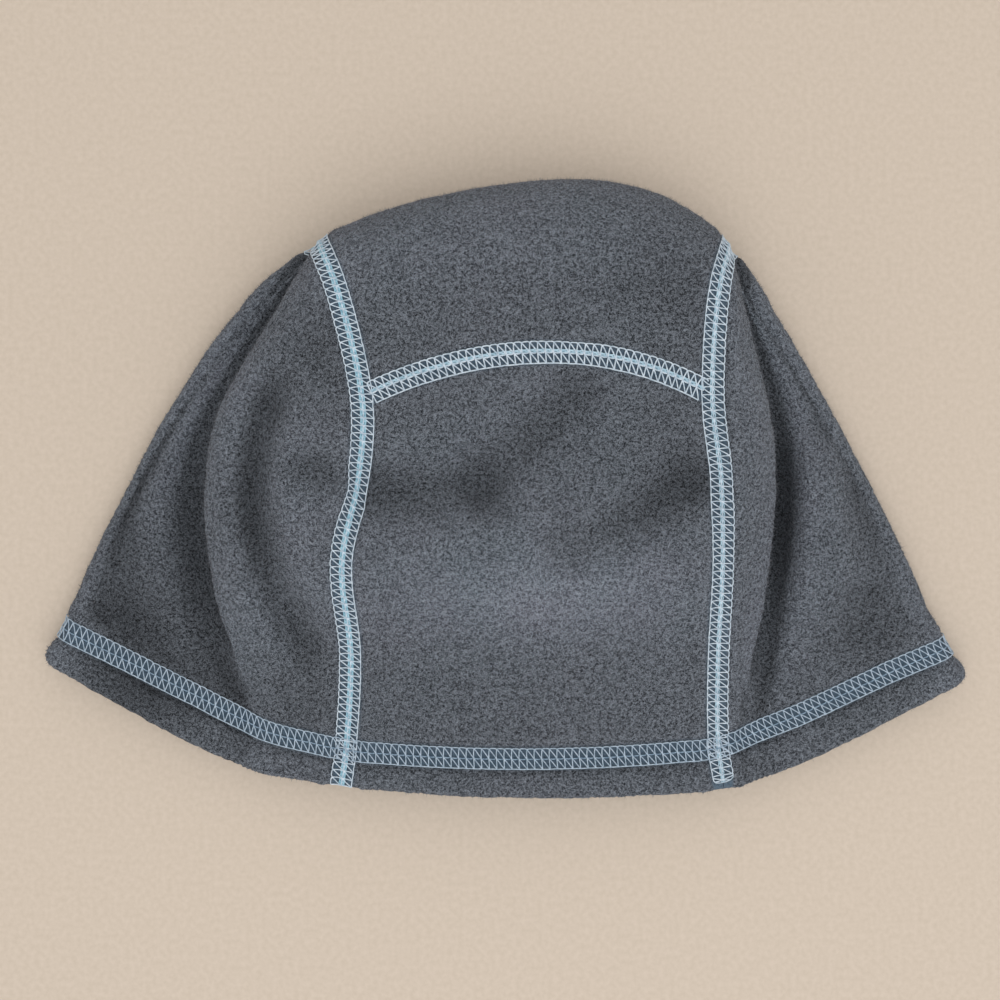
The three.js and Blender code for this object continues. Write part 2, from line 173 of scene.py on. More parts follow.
def edge_column(table, letter, station):
    share = np.clip(station - SHOULDER, 0, 1)
    way = -1 if letter == "L" and table is ACROSS else 1
    fullness = CORNER_FULLNESS * math.sqrt(0.5) * 4 * share * (1 - share)
    return column(table, LINES, "edge" + letter, station) + way * fullness


def round_over(height, station):
    share = np.clip((station - SHOULDER) / (CROWN - SHOULDER), 0, 1)
    return CROWN_EDGE_HEIGHT + (height - CROWN_EDGE_HEIGHT) * np.sqrt(1 - share**2)


def height_of(name, station):
    return round_over(column(HEIGHT, LEVELS, name, np.minimum(station, SHOULDER)), station)


def underside(station):
    return round_over(np.zeros_like(station), station)


arch_height = height_of("middle", np.array([float(ARCH)]))[0]
print("height of the middle at the arch seam:", arch_height, "mm")

# %% [markdown]
# ## Dents and folds
# Handling has pressed dents into the upper layer. Each is a soft trough or ridge along a
# bent route, seen from above. Its height falls off to both sides as a bell does, and it
# fades out towards both ends of the route.

# %% Dents and folds
FOLDS = [
    {"name": "left crease", "from": (-57, 41), "via": (-89, 2), "to": (-48, -54), "width": 6.5, "rise": -6.5},
    {"name": "left panel dent", "from": (-61, 13), "via": (-53, 9), "to": (-44, 3), "width": 6, "rise": -3},
    {"name": "left front dent", "from": (-46, 4), "via": (-22, -1), "to": (6, 7), "width": 8.5, "rise": -5},
    {"name": "slanting dent", "from": (-14, -2), "via": (6, 14), "to": (30, 40), "width": 8.5, "rise": -3.5},
    {"name": "right front dent", "from": (8, -17), "via": (38, -8), "to": (64, 12), "width": 9, "rise": -4.5},
    {"name": "right ridge", "from": (96, 22), "via": (99, 0), "to": (102, -30), "width": 5, "rise": 1.4},
    {"name": "right dip", "from": (107, -22), "via": (107, -36), "to": (100, -48), "width": 6, "rise": -1},
]
ROUTE_STEPS = 16
FADE_SHARE = 0.2


def bell(distance, width, power=2):
    return np.exp(-(np.abs(distance / width) ** power))


def nearest_on(route, x, y):
    nearest, place = np.full_like(x, np.inf), np.zeros_like(x)
    for i, ((x0, y0), (x1, y1)) in enumerate(zip(route[:-1], route[1:])):
        share = ((x - x0) * (x1 - x0) + (y - y0) * (y1 - y0)) / ((x1 - x0) ** 2 + (y1 - y0) ** 2)
        share = np.clip(share, 0, 1)
        away = np.hypot(x - mix(x0, x1, share), y - mix(y0, y1, share))
        place = np.where(away < nearest, (i + share) / ROUTE_STEPS, place)
        nearest = np.minimum(nearest, away)
    return nearest, place


def fold_height(x, y, station):
    total = np.zeros_like(x)
    s = np.linspace(0, 1, ROUTE_STEPS + 1)[:, None]
    for fold in FOLDS:
        start, via, end = (np.array(fold[key], float) for key in ("from", "via", "to"))
        route = mix(mix(start, via, s), mix(via, end, s), s)
        away, place = nearest_on(route, x, y)
        fade = smooth(np.minimum(place, 1 - place) / FADE_SHARE)
        total += fold["rise"] * bell(away, fold["width"]) * fade
    return total * (1 - smooth(station - SHOULDER))


print("dents and folds:", ", ".join(fold["name"] for fold in FOLDS))

# %% [markdown]
# ## The strip between the seams
# The middle of the front and of the back is a plain strip. Its rows arch from seam to seam,
# a little higher and nearer the crown in the middle than at the seams. The back layer is
# flat on the table, and its hem lies a little inside the front one.

# %% The strip between the seams
BACK_HEM_INSET = 2.5
BACK_HEM_FADE = 1.5


def hem_shift(station):
    return BACK_HEM_INSET * (1 - smooth(station / BACK_HEM_FADE))


def strip(stations, shares, on_back):
    station, share = np.meshgrid(stations, shares, indexing="ij")
    leaned = share - column(ROW_SHAPE, ROUNDING, "lean", station) * share**2 * (1 - share)
    arch = 1 - np.abs(2 * leaned - 1) ** column(ROW_SHAPE, ROUNDING, "power", station)
    x = mix(column(ACROSS, LINES, "seamL", station), column(ACROSS, LINES, "seamR", station), share)
    ends = [column(ALONG, LINES, name, station) for name in ("seamL", "seamR")]
    reach = column(ALONG, LINES, "middle", station) - sum(ends) / 2
    y = mix(ends[0], ends[1], share) + reach * arch
    if on_back:
        return np.stack([x, y + hem_shift(station), underside(station)], axis=-1)
    sides = [height_of(name, station) for name in ("seamL", "seamR")]
    top = height_of("middle", station) - sum(sides) / 2
    z = mix(sides[0], sides[1], share) + top * arch + fold_height(x, y, station)
    return np.stack([x, y, z], axis=-1)


def middle_line(stations, on_back=False):
    return strip(stations, np.array([0.5]), on_back)[:, 0]


middle_heights = middle_line(np.linspace(0, ARCH, 50))[:, 2]
print("the middle rises from", middle_heights[0], "to", round(middle_heights.max(), 1), "mm")

# %% [markdown]
# ## The chain of a folded side
# A side section is a chain of points from the front seam: up to a roll, round the lip that
# hangs over, into the tuck beneath it, along the flat flap to the folded edge, and back
# under the hat to the back seam. The smooth outline through it is a cubic whose pace goes
# with the square root of each step's length. That keeps the corners round without loops.

# %% The chain of a folded side
ROLL_WIDTH = 8
ROLL_SHARE = 0.45
VALLEY_REACH = {"L": 5, "R": 3.5}
VALLEY_SHARE = 0.3
PLAIN_REACH = 4
CREST_REACH = {"L": 16, "R": 10}
CREST_SHARE = 0.65
GUIDE_SHARE = 0.12
LIP_LEVEL = 0.62
TUCK_LEVEL = 0.28
SLOPE_REACH = 2
FOLD_SHARE = 0.6
PLAIN_RISE = 5
FULL_RISE = 14
SIDE_STEPS = {
    "roll": 46, "lip": 14, "tuck": 10, "valley": 12, "crest": 16, "flap": 40, "fold": 22, "under": 32,
}


def rounded(before, start, end, after, steps):
    pairs = ((before, start), (start, end), (end, after))
    lengths = (np.linalg.norm(b - a, axis=-1, keepdims=True) for a, b in pairs)
    d0, d1, d2 = (np.sqrt(np.maximum(length, 1e-6)) for length in lengths)
    leave = ((start - before) / d0 - (end - before) / (d0 + d1) + (end - start) / d1) * d1
    arrive = ((end - start) / d1 - (after - start) / (d1 + d2) + (after - end) / d2) * d1
    shares = cubic_shares((np.arange(steps) / steps)[None, :, None])
    values = (value[:, None, :] for value in (start, leave, end, arrive))
    return sum(share * value for share, value in zip(shares, values))


def chain_of_side(side, stations):
    letter = "L" if side < 0 else "R"
    seam_x, lip_x = (column(ACROSS, LINES, name + letter, stations) for name in ("seam", "lip"))
    edge_x = edge_column(ACROSS, letter, stations)
    names = ("seam", "roll", "valley", "crest", "flap")
    seam_z, roll_z, valley_z, crest_z, flap_z = (height_of(name + letter, stations) for name in names)
    grown = smooth((roll_z - valley_z - PLAIN_RISE) / (FULL_RISE - PLAIN_RISE))
    radius = np.minimum((flap_z - underside(stations)) / 2, FOLD_SHARE * np.abs(edge_x - seam_x))
    flap_x = edge_x - side * radius
    inward = np.minimum(ROLL_WIDTH, ROLL_SHARE * np.abs(lip_x - seam_x))
    overhang = column(ROW_SHAPE, ROUNDING, "overhang", stations)
    room = np.abs(flap_x - lip_x)
    outward = np.minimum(mix(PLAIN_REACH, VALLEY_REACH[letter], grown), VALLEY_SHARE * room)
    crest = np.minimum(CREST_REACH[letter], CREST_SHARE * room)
    guide_share = GUIDE_SHARE if side < 0 else 1 - GUIDE_SHARE
    guide = strip(stations, np.array([guide_share]), False)[:, 0]
    lip = (lip_x - side * SLOPE_REACH * (1 - grown), mix(valley_z, roll_z, LIP_LEVEL))
    tuck = (lip_x + side * mix(SLOPE_REACH / 2, -overhang, grown), mix(valley_z, roll_z, TUCK_LEVEL))
    return [
        (guide[:, 0], guide[:, 2]),
        (seam_x, seam_z),
        (lip_x - side * inward, roll_z),
        lip,
        tuck,
        (lip_x + side * outward, valley_z),
        (lip_x + side * crest, crest_z),
        (flap_x, flap_z),
        (edge_x, flap_z),
    ]


print("points along a side's outline:", sum(SIDE_STEPS.values()) + 1)

# %% [markdown]
# ## The whole side
# The chain becomes an outline, the folded edge half an ellipse and the under layer a
# straight line. Close to the crown the cloth has no room for the roll and its tuck, and the
# side opens into a plain slope from the front seam down to the folded edge. The dents are
# added on top only.

# %% The whole side
FOLD_FADE = (6.2, 6.9)
LEAST_WIDTH = 0.01


def side_along(side, x, stations):
    letter = "L" if side < 0 else "R"
    x0, x1 = (column(ACROSS, LINES, name + letter, stations)[:, None] for name in ("seam", "lip"))
    y0, y1 = (column(ALONG, LINES, name + letter, stations)[:, None] for name in ("seam", "lip"))
    x2, y2 = (edge_column(table, letter, stations)[:, None] for table in (ACROSS, ALONG))
    spans = (x0, x1), (x1, x2)
    inner_width, outer_width = (side * np.maximum(side * (b - a), LEAST_WIDTH) for a, b in spans)
    turn = ((y2 - y1) / outer_width - (y1 - y0) / inner_width) / 2
    t = np.clip((x - x0) / inner_width, 0, 1)
    u = np.clip((x - x1) / outer_width, 0, 1)
    inner = mix(y0, y1, t) - inner_width * turn * t**2 * (1 - t)
    outer = mix(y1, y2, u) - outer_width * turn * u * (1 - u) ** 2
    return np.where(side * (x - x1) < 0, inner, outer)


def side_rows(side, stations):
    anchors = [np.stack(pair, axis=-1) for pair in chain_of_side(side, stations)]
    spans = zip(anchors, anchors[1:], anchors[2:], anchors[3:], SIDE_STEPS.values())
    outline = [rounded(*span) for span in spans]
    seam_x, seam_z = anchors[1].T
    flap_x, flap_z = anchors[-2].T[:, :, None]
    edge_x = anchors[-1][:, :1]
    floor_z = underside(stations)[:, None]
    radius = (flap_z - floor_z) / 2
    turn = np.linspace(0, math.pi, SIDE_STEPS["fold"] + 1)[None, :]
    fold_x = flap_x + (edge_x - flap_x) * np.sin(turn)
    outline.append(np.stack([fold_x, floor_z + radius * (1 + np.cos(turn))], axis=-1))
    share = np.linspace(0, 1, SIDE_STEPS["under"] + 1)[None, 1:]
    outline.append(np.stack([mix(flap_x, seam_x[:, None], share), floor_z + 0 * share], axis=-1))
    outline = np.concatenate(outline, axis=1)
    return opened_near_crown(outline, side, stations, (seam_x, seam_z), (flap_x, flap_z))


def opened_near_crown(outline, side, stations, seam, flap):
    last = outline.shape[1] - 1
    fold_start = last - SIDE_STEPS["under"] - SIDE_STEPS["fold"]
    index = np.arange(last + 1)[None, :]
    opened = smooth((stations[:, None] - FOLD_FADE[0]) / (FOLD_FADE[1] - FOLD_FADE[0]))
    opened = np.where(index < fold_start, opened, 0)
    share = np.minimum(index / fold_start, 1)
    x = mix(outline[..., 0], mix(seam[0][:, None], flap[0], share), opened)
    z = mix(outline[..., 1], mix(seam[1][:, None], flap[1], smooth(share)), opened)
    y = side_along(side, x, stations)
    under = smooth((index - fold_start) / SIDE_STEPS["fold"])
    z = z + (1 - under) * fold_height(x, y, stations[:, None] + 0 * x)
    return np.stack([x, y + under * hem_shift(stations[:, None]), z], axis=-1)


bulge_row = side_rows(1, np.array([3.0]))[0]
print("the right flap at the bulge reaches", round(bulge_row[:, 0].max(), 1), "mm")

# %% [markdown]
# ## Evenly spaced rows
# Stations are not evenly spaced on the cloth, and the rows of a fine mesh should be. So we
# measure along the middle of the hat and pick stations at equal distances. The hem is
# folded, and its round edge has half the hem's thickness as its radius, so the first row
# starts that far from the hem's edge. Row counts are multiples of four, because the inner
# face of the cloth is built from every fourth row and column.

# %% Evenly spaced rows
FLEECE = 2.2
HEM_WALL = 4.0
COARSE = 4
LOW_ROWS = 168
HIGH_ROWS = 72
CROWN_FRONT_ROWS = 84
BACK_ROWS = 100
STRIP_COLUMNS = 160
LOW_STEPS = 1200
CROWN_STEPS = 400
TIP_TURN = 66


def crown_station(turn):
    return mix(SHOULDER, CROWN, math.sin(math.radians(turn)))


def run_along(points, axis):
    steps = np.linalg.norm(np.diff(points, axis=axis), axis=-1)
    before = np.zeros_like(np.take(steps, [0], axis=axis))
    return np.concatenate([before, np.cumsum(steps, axis=axis)], axis=axis)


def spaced_stations(start, end, count, on_back=False):
    turn = np.linspace(0, math.pi / 2, CROWN_STEPS)[1:]
    fine = np.concatenate([np.linspace(0, SHOULDER, LOW_STEPS), SHOULDER + np.sin(turn)])
    fine = np.unique(np.concatenate([fine[(fine > start) & (fine < end)], [start, end]]))
    run = run_along(middle_line(fine, on_back), 0)
    return np.interp(np.linspace(0, run[-1], count + 1), run, fine)


TIP_STATION = crown_station(TIP_TURN)
first_rows = middle_line(np.array([0.0, 1.0]))
FIRST_STATION = HEM_WALL / 2 / np.linalg.norm(first_rows[1] - first_rows[0])
low_stations = spaced_stations(FIRST_STATION, ARCH, LOW_ROWS)
high_stations = spaced_stations(ARCH, TIP_STATION, HIGH_ROWS)
side_stations = np.concatenate([low_stations, high_stations[1:]])
crown_stations = spaced_stations(ARCH, CROWN, CROWN_FRONT_ROWS)
back_stations = spaced_stations(FIRST_STATION, CROWN, BACK_ROWS, on_back=True)
print("rows: front", LOW_ROWS, "crown", CROWN_FRONT_ROWS + BACK_ROWS, "sides", LOW_ROWS + HIGH_ROWS)

# %% [markdown]
# ## Points of the four panels
# Each panel is a grid of points with one guide column on either side that lies on the next
# panel, so both cloths of a seam face the same way where they meet. The side panels end
# bluntly near the crown. There the crown panel reaches out to meet their last row.

# %% Points of the four panels
BORDER_SHARE = 0.08
STRIP_SHARES = np.linspace(0, 1, STRIP_COLUMNS + 1)
tips = {side: side_rows(side, np.array([TIP_STATION]))[0] for side in (-1, 1)}


def reach_to_tips(row_points, stations):
    for side, share in ((-1, STRIP_SHARES), (1, 1 - STRIP_SHARES)):
        end = row_points[:, 0 if side < 0 else -1]
        tip = tips[side][::-1]
        border = np.stack([np.interp(end[:, 2], tip[:, 2], tip[:, k]) for k in range(3)], axis=-1)
        beyond = (stations > TIP_STATION)[:, None]
        pull = np.clip(1 - share / BORDER_SHARE, 0, 1) ** 2
        row_points = row_points + np.where(beyond, border - end, 0)[:, None, :] * pull[None, :, None]
    return row_points


def strip_grid(stations, on_back):
    points = reach_to_tips(strip(stations, STRIP_SHARES, on_back), stations)
    guide = -2 if on_back else 1
    inside = np.minimum(stations, TIP_STATION)
    left, right = (side_rows(side, inside)[:, guide] for side in (-1, 1))
    beyond = (stations > TIP_STATION)[:, None]
    left = np.where(beyond, 2 * points[:, 0] - points[:, 1], left)
    right = np.where(beyond, 2 * points[:, -1] - points[:, -2], right)
    return np.concatenate([left[:, None], points, right[:, None]], axis=1)


def side_grid(side):
    near = np.array([STRIP_SHARES[1] if side < 0 else STRIP_SHARES[-2]])
    front, back = (strip(side_stations, near, on_back) for on_back in (False, True))
    points = np.concatenate([front, side_rows(side, side_stations), back], axis=1)
    return points[:, ::-1] if side < 0 else points


crown_rows = [strip_grid(back_stations, True), strip_grid(crown_stations, False)[-2::-1]]
panels = {
    "front_panel": {"points": strip_grid(low_stations, False), "stations": low_stations},
    "crown_panel": {
        "points": np.concatenate(crown_rows)[:, ::-1],
        "stations": np.concatenate([back_stations, crown_stations[-2::-1]]),
    },
    "side_panel_left": {"points": side_grid(-1), "stations": side_stations},
    "side_panel_right": {"points": side_grid(1), "stations": side_stations},
}
print({name: panel["points"].shape[:2] for name, panel in panels.items()})

# %% [markdown]
# ## How far each point is from a seam
# Seams pull the cloth down and the nap swells up beside them, so every point has to know
# its distance from the nearest seam and from the line of the hem's stitching. Both are
# lengths on the cloth, measured along the rows and the columns of the grid. Towards the
# ends of the flaps the stitching is a little farther from the hem's edge.

# %% How far each point is from a seam
FARTHER_AT = (-110, -92, -72, 90, 104, 118)
FARTHER_BY = (2.4, 2.0, 0, 0, 0.8, 1.5)


def row_at(run, stations, station):
    return np.array([np.interp(station, stations, line) for line in run.T])


def direction(ways):
    return ways / np.linalg.norm(ways, axis=-1, keepdims=True)


def normals_of(points):
    across = points[:, 2:] - points[:, :-2]
    along = np.gradient(points[:, 1:-1], axis=0)
    return direction(np.cross(across, along))


for name, panel in panels.items():
    cloth = panel["points"][:, 1:-1]
    rows_before_crown = np.argmax(panel["stations"]) + 1
    across_run = run_along(cloth, 1)
    along_run = run_along(cloth, 0)
    stitching = row_at(along_run[:rows_before_crown], panel["stations"][:rows_before_crown], STITCHING)
    stitching += np.interp(cloth[0, :, 0], FARTHER_AT, FARTHER_BY)
    to_sides = np.minimum(across_run, across_run[:, -1:] - across_run)
    panel["cloth"] = cloth
    panel["normals"] = normals_of(panel["points"])
    panel["to_seam"] = np.minimum(to_sides, along_run[-1:] - along_run)
    panel["below_stitching"] = stitching[None, :] - along_run
    long, wide = round(float(along_run[-1].max())), round(float(across_run.max()))
    print(name, "is", long, "mm long and", wide, "mm wide")

# %% [markdown]
# ## Seams press the cloth, and the hem swells
# The flatlock seams are 6 mm wide, the usual distance between the outer needles. Their
# stitches press the nap flat. Beside them, and in the folded hem below the stitching, it
# swells, with a narrow groove right below the hem's lower needle line. This relief is added
# along the normals. What lies on the table stays flat.

# %% Seams press the cloth, and the hem swells
SEAM_WIDTH = 6.0
PRESSED, PRESSED_REACH = -0.7, 3.3
SWOLLEN, SWOLLEN_REACH = 0.45, 2.4
HEM_ROLL, HEM_ROLL_REACH = 0.55, 3.6
HEM_ROLL_PLACE = 11.0
GROOVE, GROOVE_REACH = -0.4, 0.9
CROSSING_REACH = 3.0
FLAT_TOP = 4
COVERED, COVER_FADE = 2.4, 1.4
PRESSED_NAP = 0.75
NAP_START = 0.5


def beside_seam(to_seam):
    return 1 - bell(to_seam, CROSSING_REACH, FLAT_TOP)


def in_groove(to_seam, below_stitching):
    below_band = below_stitching - SEAM_WIDTH
    return bell(below_band - GROOVE_REACH, GROOVE_REACH) * beside_seam(to_seam)


def pressed_band(away, beside):
    return PRESSED * bell(away, PRESSED_REACH, FLAT_TOP) + SWOLLEN * bell(beside, SWOLLEN_REACH)


def relief(to_seam, below_stitching):
    band = below_stitching - SEAM_WIDTH / 2
    seam = pressed_band(to_seam, to_seam - SEAM_WIDTH)
    hem = pressed_band(band, band + SEAM_WIDTH)
    roll = HEM_ROLL * bell(below_stitching - HEM_ROLL_PLACE, HEM_ROLL_REACH)
    groove = GROOVE * in_groove(to_seam, below_stitching)
    return seam + hem * beside_seam(to_seam) + roll + groove


def under_stitches(to_seam, below_stitching):
    free = np.minimum(to_seam, np.abs(below_stitching - SEAM_WIDTH / 2))
    return 1 - smooth((free - COVERED) / COVER_FADE)


for panel in panels.values():
    lengths = panel["to_seam"], panel["below_stitching"]
    panel["pressed"] = panel["cloth"] + panel["normals"] * relief(*lengths)[..., None]
    panel["pressed"][..., 2] = np.maximum(panel["pressed"][..., 2], 0)
    panel["stitched"] = under_stitches(*lengths)
    panel["nap_depth"] = (1 - PRESSED_NAP * panel["stitched"]) * smooth(panel["to_seam"] / NAP_START)
highest = max(panel["pressed"][..., 2].max() for panel in panels.values())
print("highest point of the cloth:", round(highest, 1), "mm")

# %% [markdown]
# ## Where the cloth bulges and where it is hollow
# On a bulge the colour is painted lighter, a painted highlight, and in a hollow darker, a
# painted shade. So we measure how the normals spread from point to point, even that out
# over a few millimetres, and keep it as a number from 0, hollow, to 1, bulging. A few soft
# spots paint more shade or highlight in listed places, and the groove below the hem's
# stitching gets a painted shadow, so the number may go past 0 and 1.

# %% Where the cloth bulges and where it is hollow
EVENING_ROUNDS = 60
STRONG_BEND = 0.07
LEAST_STEP = 1e-4
GROOVE_SHADE = 0.35
# Spots of painted shade and painted highlight: each one makes the colour darker or lighter round its place.
PAINTED_SHADE_SPOTS = [
    {"name": "rubbed front", "at": (8, -29), "reach": (48, 14), "change": 1.1},
    {"name": "front beside the right seam", "at": (48, 12), "reach": (13, 20), "change": -0.25},
    {"name": "crown by the right seam", "at": (50, 66), "reach": (18, 16), "change": -0.5},
    {"name": "left panel by the crown", "at": (-55, 41), "reach": (13, 20), "change": -0.5},
    {"name": "left crease", "at": (-69, 0), "reach": (5, 28), "change": -0.25},
    {"name": "left panel by the hem", "at": (-55, -55), "reach": (13, 15), "change": -0.32},
    {"name": "left roll", "at": (-79, -2), "reach": (7, 26), "change": -0.42},
    {"name": "left valley", "at": (-89, -4), "reach": (5, 30), "change": 0.12},
    {"name": "left flap", "at": (-108, -25), "reach": (23, 40), "change": -0.65},
    {"name": "left flap by the crown", "at": (-86, 42), "reach": (12, 16), "change": 0.2},
    {"name": "right roll", "at": (72, -2), "reach": (9, 48), "change": -0.15},
    {"name": "right flap", "at": (112, -20), "reach": (20, 45), "change": -0.35},
    {"name": "right valley", "at": (84, -8), "reach": (5, 36), "change": -0.3},
    {"name": "left end of the hem", "at": (-98, -58), "reach": (32, 11), "change": -0.38},
]


def evened(values, rounds):
    for _ in range(rounds):
        for axis in (0, 1):
            ends = [(1, 1) if k == axis else (0, 0) for k in (0, 1)]
            padded = np.moveaxis(np.pad(values, ends, mode="edge"), axis, 0)
            values = np.moveaxis(padded[:-2] / 4 + padded[1:-1] / 2 + padded[2:] / 4, 0, axis)
    return values


def bulging_for_painted_shade(points, normals):
    bend = np.zeros(points.shape[:2])
    for axis in (0, 1):
        step, change = np.gradient(points, axis=axis), np.gradient(normals, axis=axis)
        bend += np.sum(step * change, axis=-1) / np.maximum(np.sum(step * step, axis=-1), LEAST_STEP)
    return 0.5 + 0.5 * np.tanh(evened(bend, EVENING_ROUNDS) / STRONG_BEND)


def painted_shade_spots_at(points, normals):
    x, y = points[..., 0], points[..., 1]
    total = np.zeros_like(x)
    for spot in PAINTED_SHADE_SPOTS:
        away = np.hypot((x - spot["at"][0]) / spot["reach"][0], (y - spot["at"][1]) / spot["reach"][1])
        total += spot["change"] * bell(away, 1)
    return total * (normals[..., 2] > 0)


# The colour turns this number into painted shade in hollows and painted highlight on bulges.
for name, panel in panels.items():
    cloth, normals = panel["cloth"], panel["normals"]
    # Painted shadow: the colour is made darker in the narrow groove below the hem's lower needle line.
    groove = GROOVE_SHADE * in_groove(panel["to_seam"], panel["below_stitching"])
    panel["open"] = bulging_for_painted_shade(cloth, normals) + painted_shade_spots_at(cloth, normals) - groove
    print(name, "is open from", panel["open"].min().round(2), "to", panel["open"].max().round(2))
print("spots:", ", ".join(spot["name"] for spot in PAINTED_SHADE_SPOTS))

# %% [markdown]
# ## The folded edge of the hem
# At the hem the fleece is turned up inside, so its edge is a soft half-round. The rows of
# this nose turn about a centre line in the middle of the wall, from the inner face to the
# outer one. They are put in front of the panel's own rows.

# %% The folded edge of the hem
NOSE_ROWS = 8
NOSE_TURN = 165
HEM_EASE = 0.12
THINNING_TURN = 45
TIP_WALL = 1.6


def wall_at(stations, tip_thins):
    wall = mix(HEM_WALL, FLEECE, smooth((stations - STITCHING) / HEM_EASE))
    if not tip_thins:
        return wall
    thinning = crown_station(THINNING_TURN)
    return mix(wall, TIP_WALL, smooth((stations - thinning) / (TIP_STATION - thinning)))


def with_nose(panel):
    first, normal = panel["pressed"][0], panel["normals"][0]
    along = panel["cloth"][0] - panel["cloth"][1]
    outward = direction(along - normal * np.sum(along * normal, axis=-1, keepdims=True))
    rise = np.sum((first - panel["cloth"][0]) * normal, axis=-1, keepdims=True)
    radius = (HEM_WALL + rise) / 2
    turns = np.radians(np.linspace(NOSE_TURN, 0, NOSE_ROWS, endpoint=False))
    nose_normals = [normal * math.cos(turn) + outward * math.sin(turn) for turn in turns]
    nose = [first - normal * radius + way * radius for way in nose_normals]
    points = np.concatenate([nose, panel["pressed"]])
    points[..., 2] = np.maximum(points[..., 2], 0)
    return points, np.concatenate([nose_normals, panel["normals"]])


for name, panel in panels.items():
    panel["outer"], panel["outer_normals"] = with_nose(panel)
    panel["wall"] = wall_at(panel["stations"], name.startswith("side"))
print("radius of the hem's edge:", HEM_WALL / 2, "mm")

# %% [markdown]
# ## The inner face and the closed cloth
# Cloth has two faces. The inner one is seen only through the opening of the hat, so it is
# built from every fourth point. Its directions are evened out a little, so that it crosses
# itself less inside tight folds. Rims join the two faces: each rim face has four short
# edges on the fine side and one long edge on the coarse side, and one more face closes each
# end of the hem's round edge. The points also keep three numbers that the nap and the
# colour need: how deep the nap is, how much it bulges together with its painted shade and
# highlight, and how much of it lies under stitches.

# %% The inner face and the closed cloth
SEAM_GAP = 0.16
INNER_ROUNDS = 2
SHARP_ANGLE = 60


def inner_face(panel):
    normals = panel["normals"][::COARSE, ::COARSE].copy()
    for _ in range(INNER_ROUNDS):
        normals[:, 1:-1] = direction(normals[:, 1:-1] + normals[:, 2:] + normals[:, :-2])
    return panel["cloth"][::COARSE, ::COARSE] - normals * panel["wall"][::COARSE, None, None]


def pulled_in(points):
    points = points.copy()
    borders = np.s_[:, 0], np.s_[:, -1], np.s_[-1]
    lines_beside = np.s_[:, 1], np.s_[:, -2], np.s_[-2]
    for border, beside in zip(borders, lines_beside):
        points[border] += direction(points[beside] - points[border]) * SEAM_GAP / 2
    return points


def quads(grid):
    corners = grid[:-1, :-1], grid[:-1, 1:], grid[1:, 1:], grid[1:, :-1]
    return np.stack(corners, axis=-1).reshape(-1, 4).tolist()


def rims(fine, coarse):
    body = fine[NOSE_ROWS:]
    faces = [[*fine[: NOSE_ROWS + 1, 0], coarse[0, 0]], [*fine[NOSE_ROWS::-1, -1], coarse[0, -1]]]
    for k in range(coarse.shape[0] - 1):
        run = slice(k * COARSE, (k + 1) * COARSE + 1)
        faces.append([*body[run, 0], coarse[k + 1, 0], coarse[k, 0]])
        faces.append([*body[run, -1][::-1], coarse[k, -1], coarse[k + 1, -1]])
    for k in range(coarse.shape[1] - 1):
        run = slice(k * COARSE, (k + 1) * COARSE + 1)
        faces.append([*fine[0, run][::-1], coarse[0, k], coarse[0, k + 1]])
        faces.append([*fine[-1, run], coarse[-1, k + 1], coarse[-1, k]])
    return [[int(index) for index in face] for face in faces]


def closed_cloth(name, panel):
    outer, inner = pulled_in(panel["outer"]), pulled_in(inner_face(panel))
    fine = np.arange(outer[..., 0].size).reshape(outer.shape[:2])
    coarse = fine.size + np.arange(inner[..., 0].size).reshape(inner.shape[:2])
    points = np.concatenate([outer.reshape(-1, 3), inner.reshape(-1, 3)]) * MM
    mesh = bpy.data.meshes.new(name)
    mesh.from_pydata(points.tolist(), [], quads(fine) + quads(coarse[:, ::-1]) + rims(fine, coarse))
    for key in ("nap_depth", "open", "stitched"):
        values = np.concatenate([np.repeat(panel[key][:1], NOSE_ROWS, axis=0), panel[key]]).ravel()
        values = np.concatenate([values, np.zeros(inner[..., 0].size)])
        mesh.attributes.new(key, "FLOAT", "POINT").data.foreach_set("value", values.astype(np.float32))
    mesh.shade_smooth()
    mesh.set_sharp_from_angle(angle=math.radians(SHARP_ANGLE))
    return new_object(name, mesh)


fleeces = {name: closed_cloth(name + "_fleece", panel) for name, panel in panels.items()}
print({cloth.name: len(cloth.data.polygons) for cloth in fleeces.values()})

# %% [markdown]
# ## Helpers for node trees
# Materials and Geometry Nodes are both made of nodes with inputs and links. One helper adds
# a node, sets its options, and gives each input either a value or a link. Two more write
# sums and products of numbers and of vectors, which come up all the time. The last three
# open a tree with named inputs, close it, and turn its result into a plain mesh.

# %% Helpers for node trees
def add(tree, kind, inputs=None, **options):
    made = tree.nodes.new(kind)
    for option, value in options.items():
        setattr(made, option, value)
    for key, value in (inputs or {}).items():
        if isinstance(value, bpy.types.NodeSocket):
            tree.links.new(value, made.inputs[key])
        else:
            made.inputs[key].default_value = value
    return made


def number(tree, operation, *values):
    return add(tree, "ShaderNodeMath", dict(enumerate(values)), operation=operation).outputs[0]


def vector(tree, operation, *values, scale=None):
    inputs = dict(enumerate(values))
    if scale is not None:
        inputs["Scale"] = scale
    return add(tree, "ShaderNodeVectorMath", inputs, operation=operation).outputs["Vector"]


def named(tree, name, kind="FLOAT"):
    return add(tree, "GeometryNodeInputNamedAttribute", {"Name": name}, data_type=kind).outputs[0]


def geometry_tree(title, sizes):
    tree = bpy.data.node_groups.new(title, "GeometryNodeTree")
    tree.interface.new_socket("Geometry", in_out="INPUT", socket_type="NodeSocketGeometry")
    for label, (kind, value) in sizes.items():
        socket = tree.interface.new_socket(label, in_out="INPUT", socket_type="NodeSocket" + kind)
        if value is not None:
            socket.default_value = value
    tree.interface.new_socket("Geometry", in_out="OUTPUT", socket_type="NodeSocketGeometry")
    return tree, tree.nodes.new("NodeGroupInput").outputs


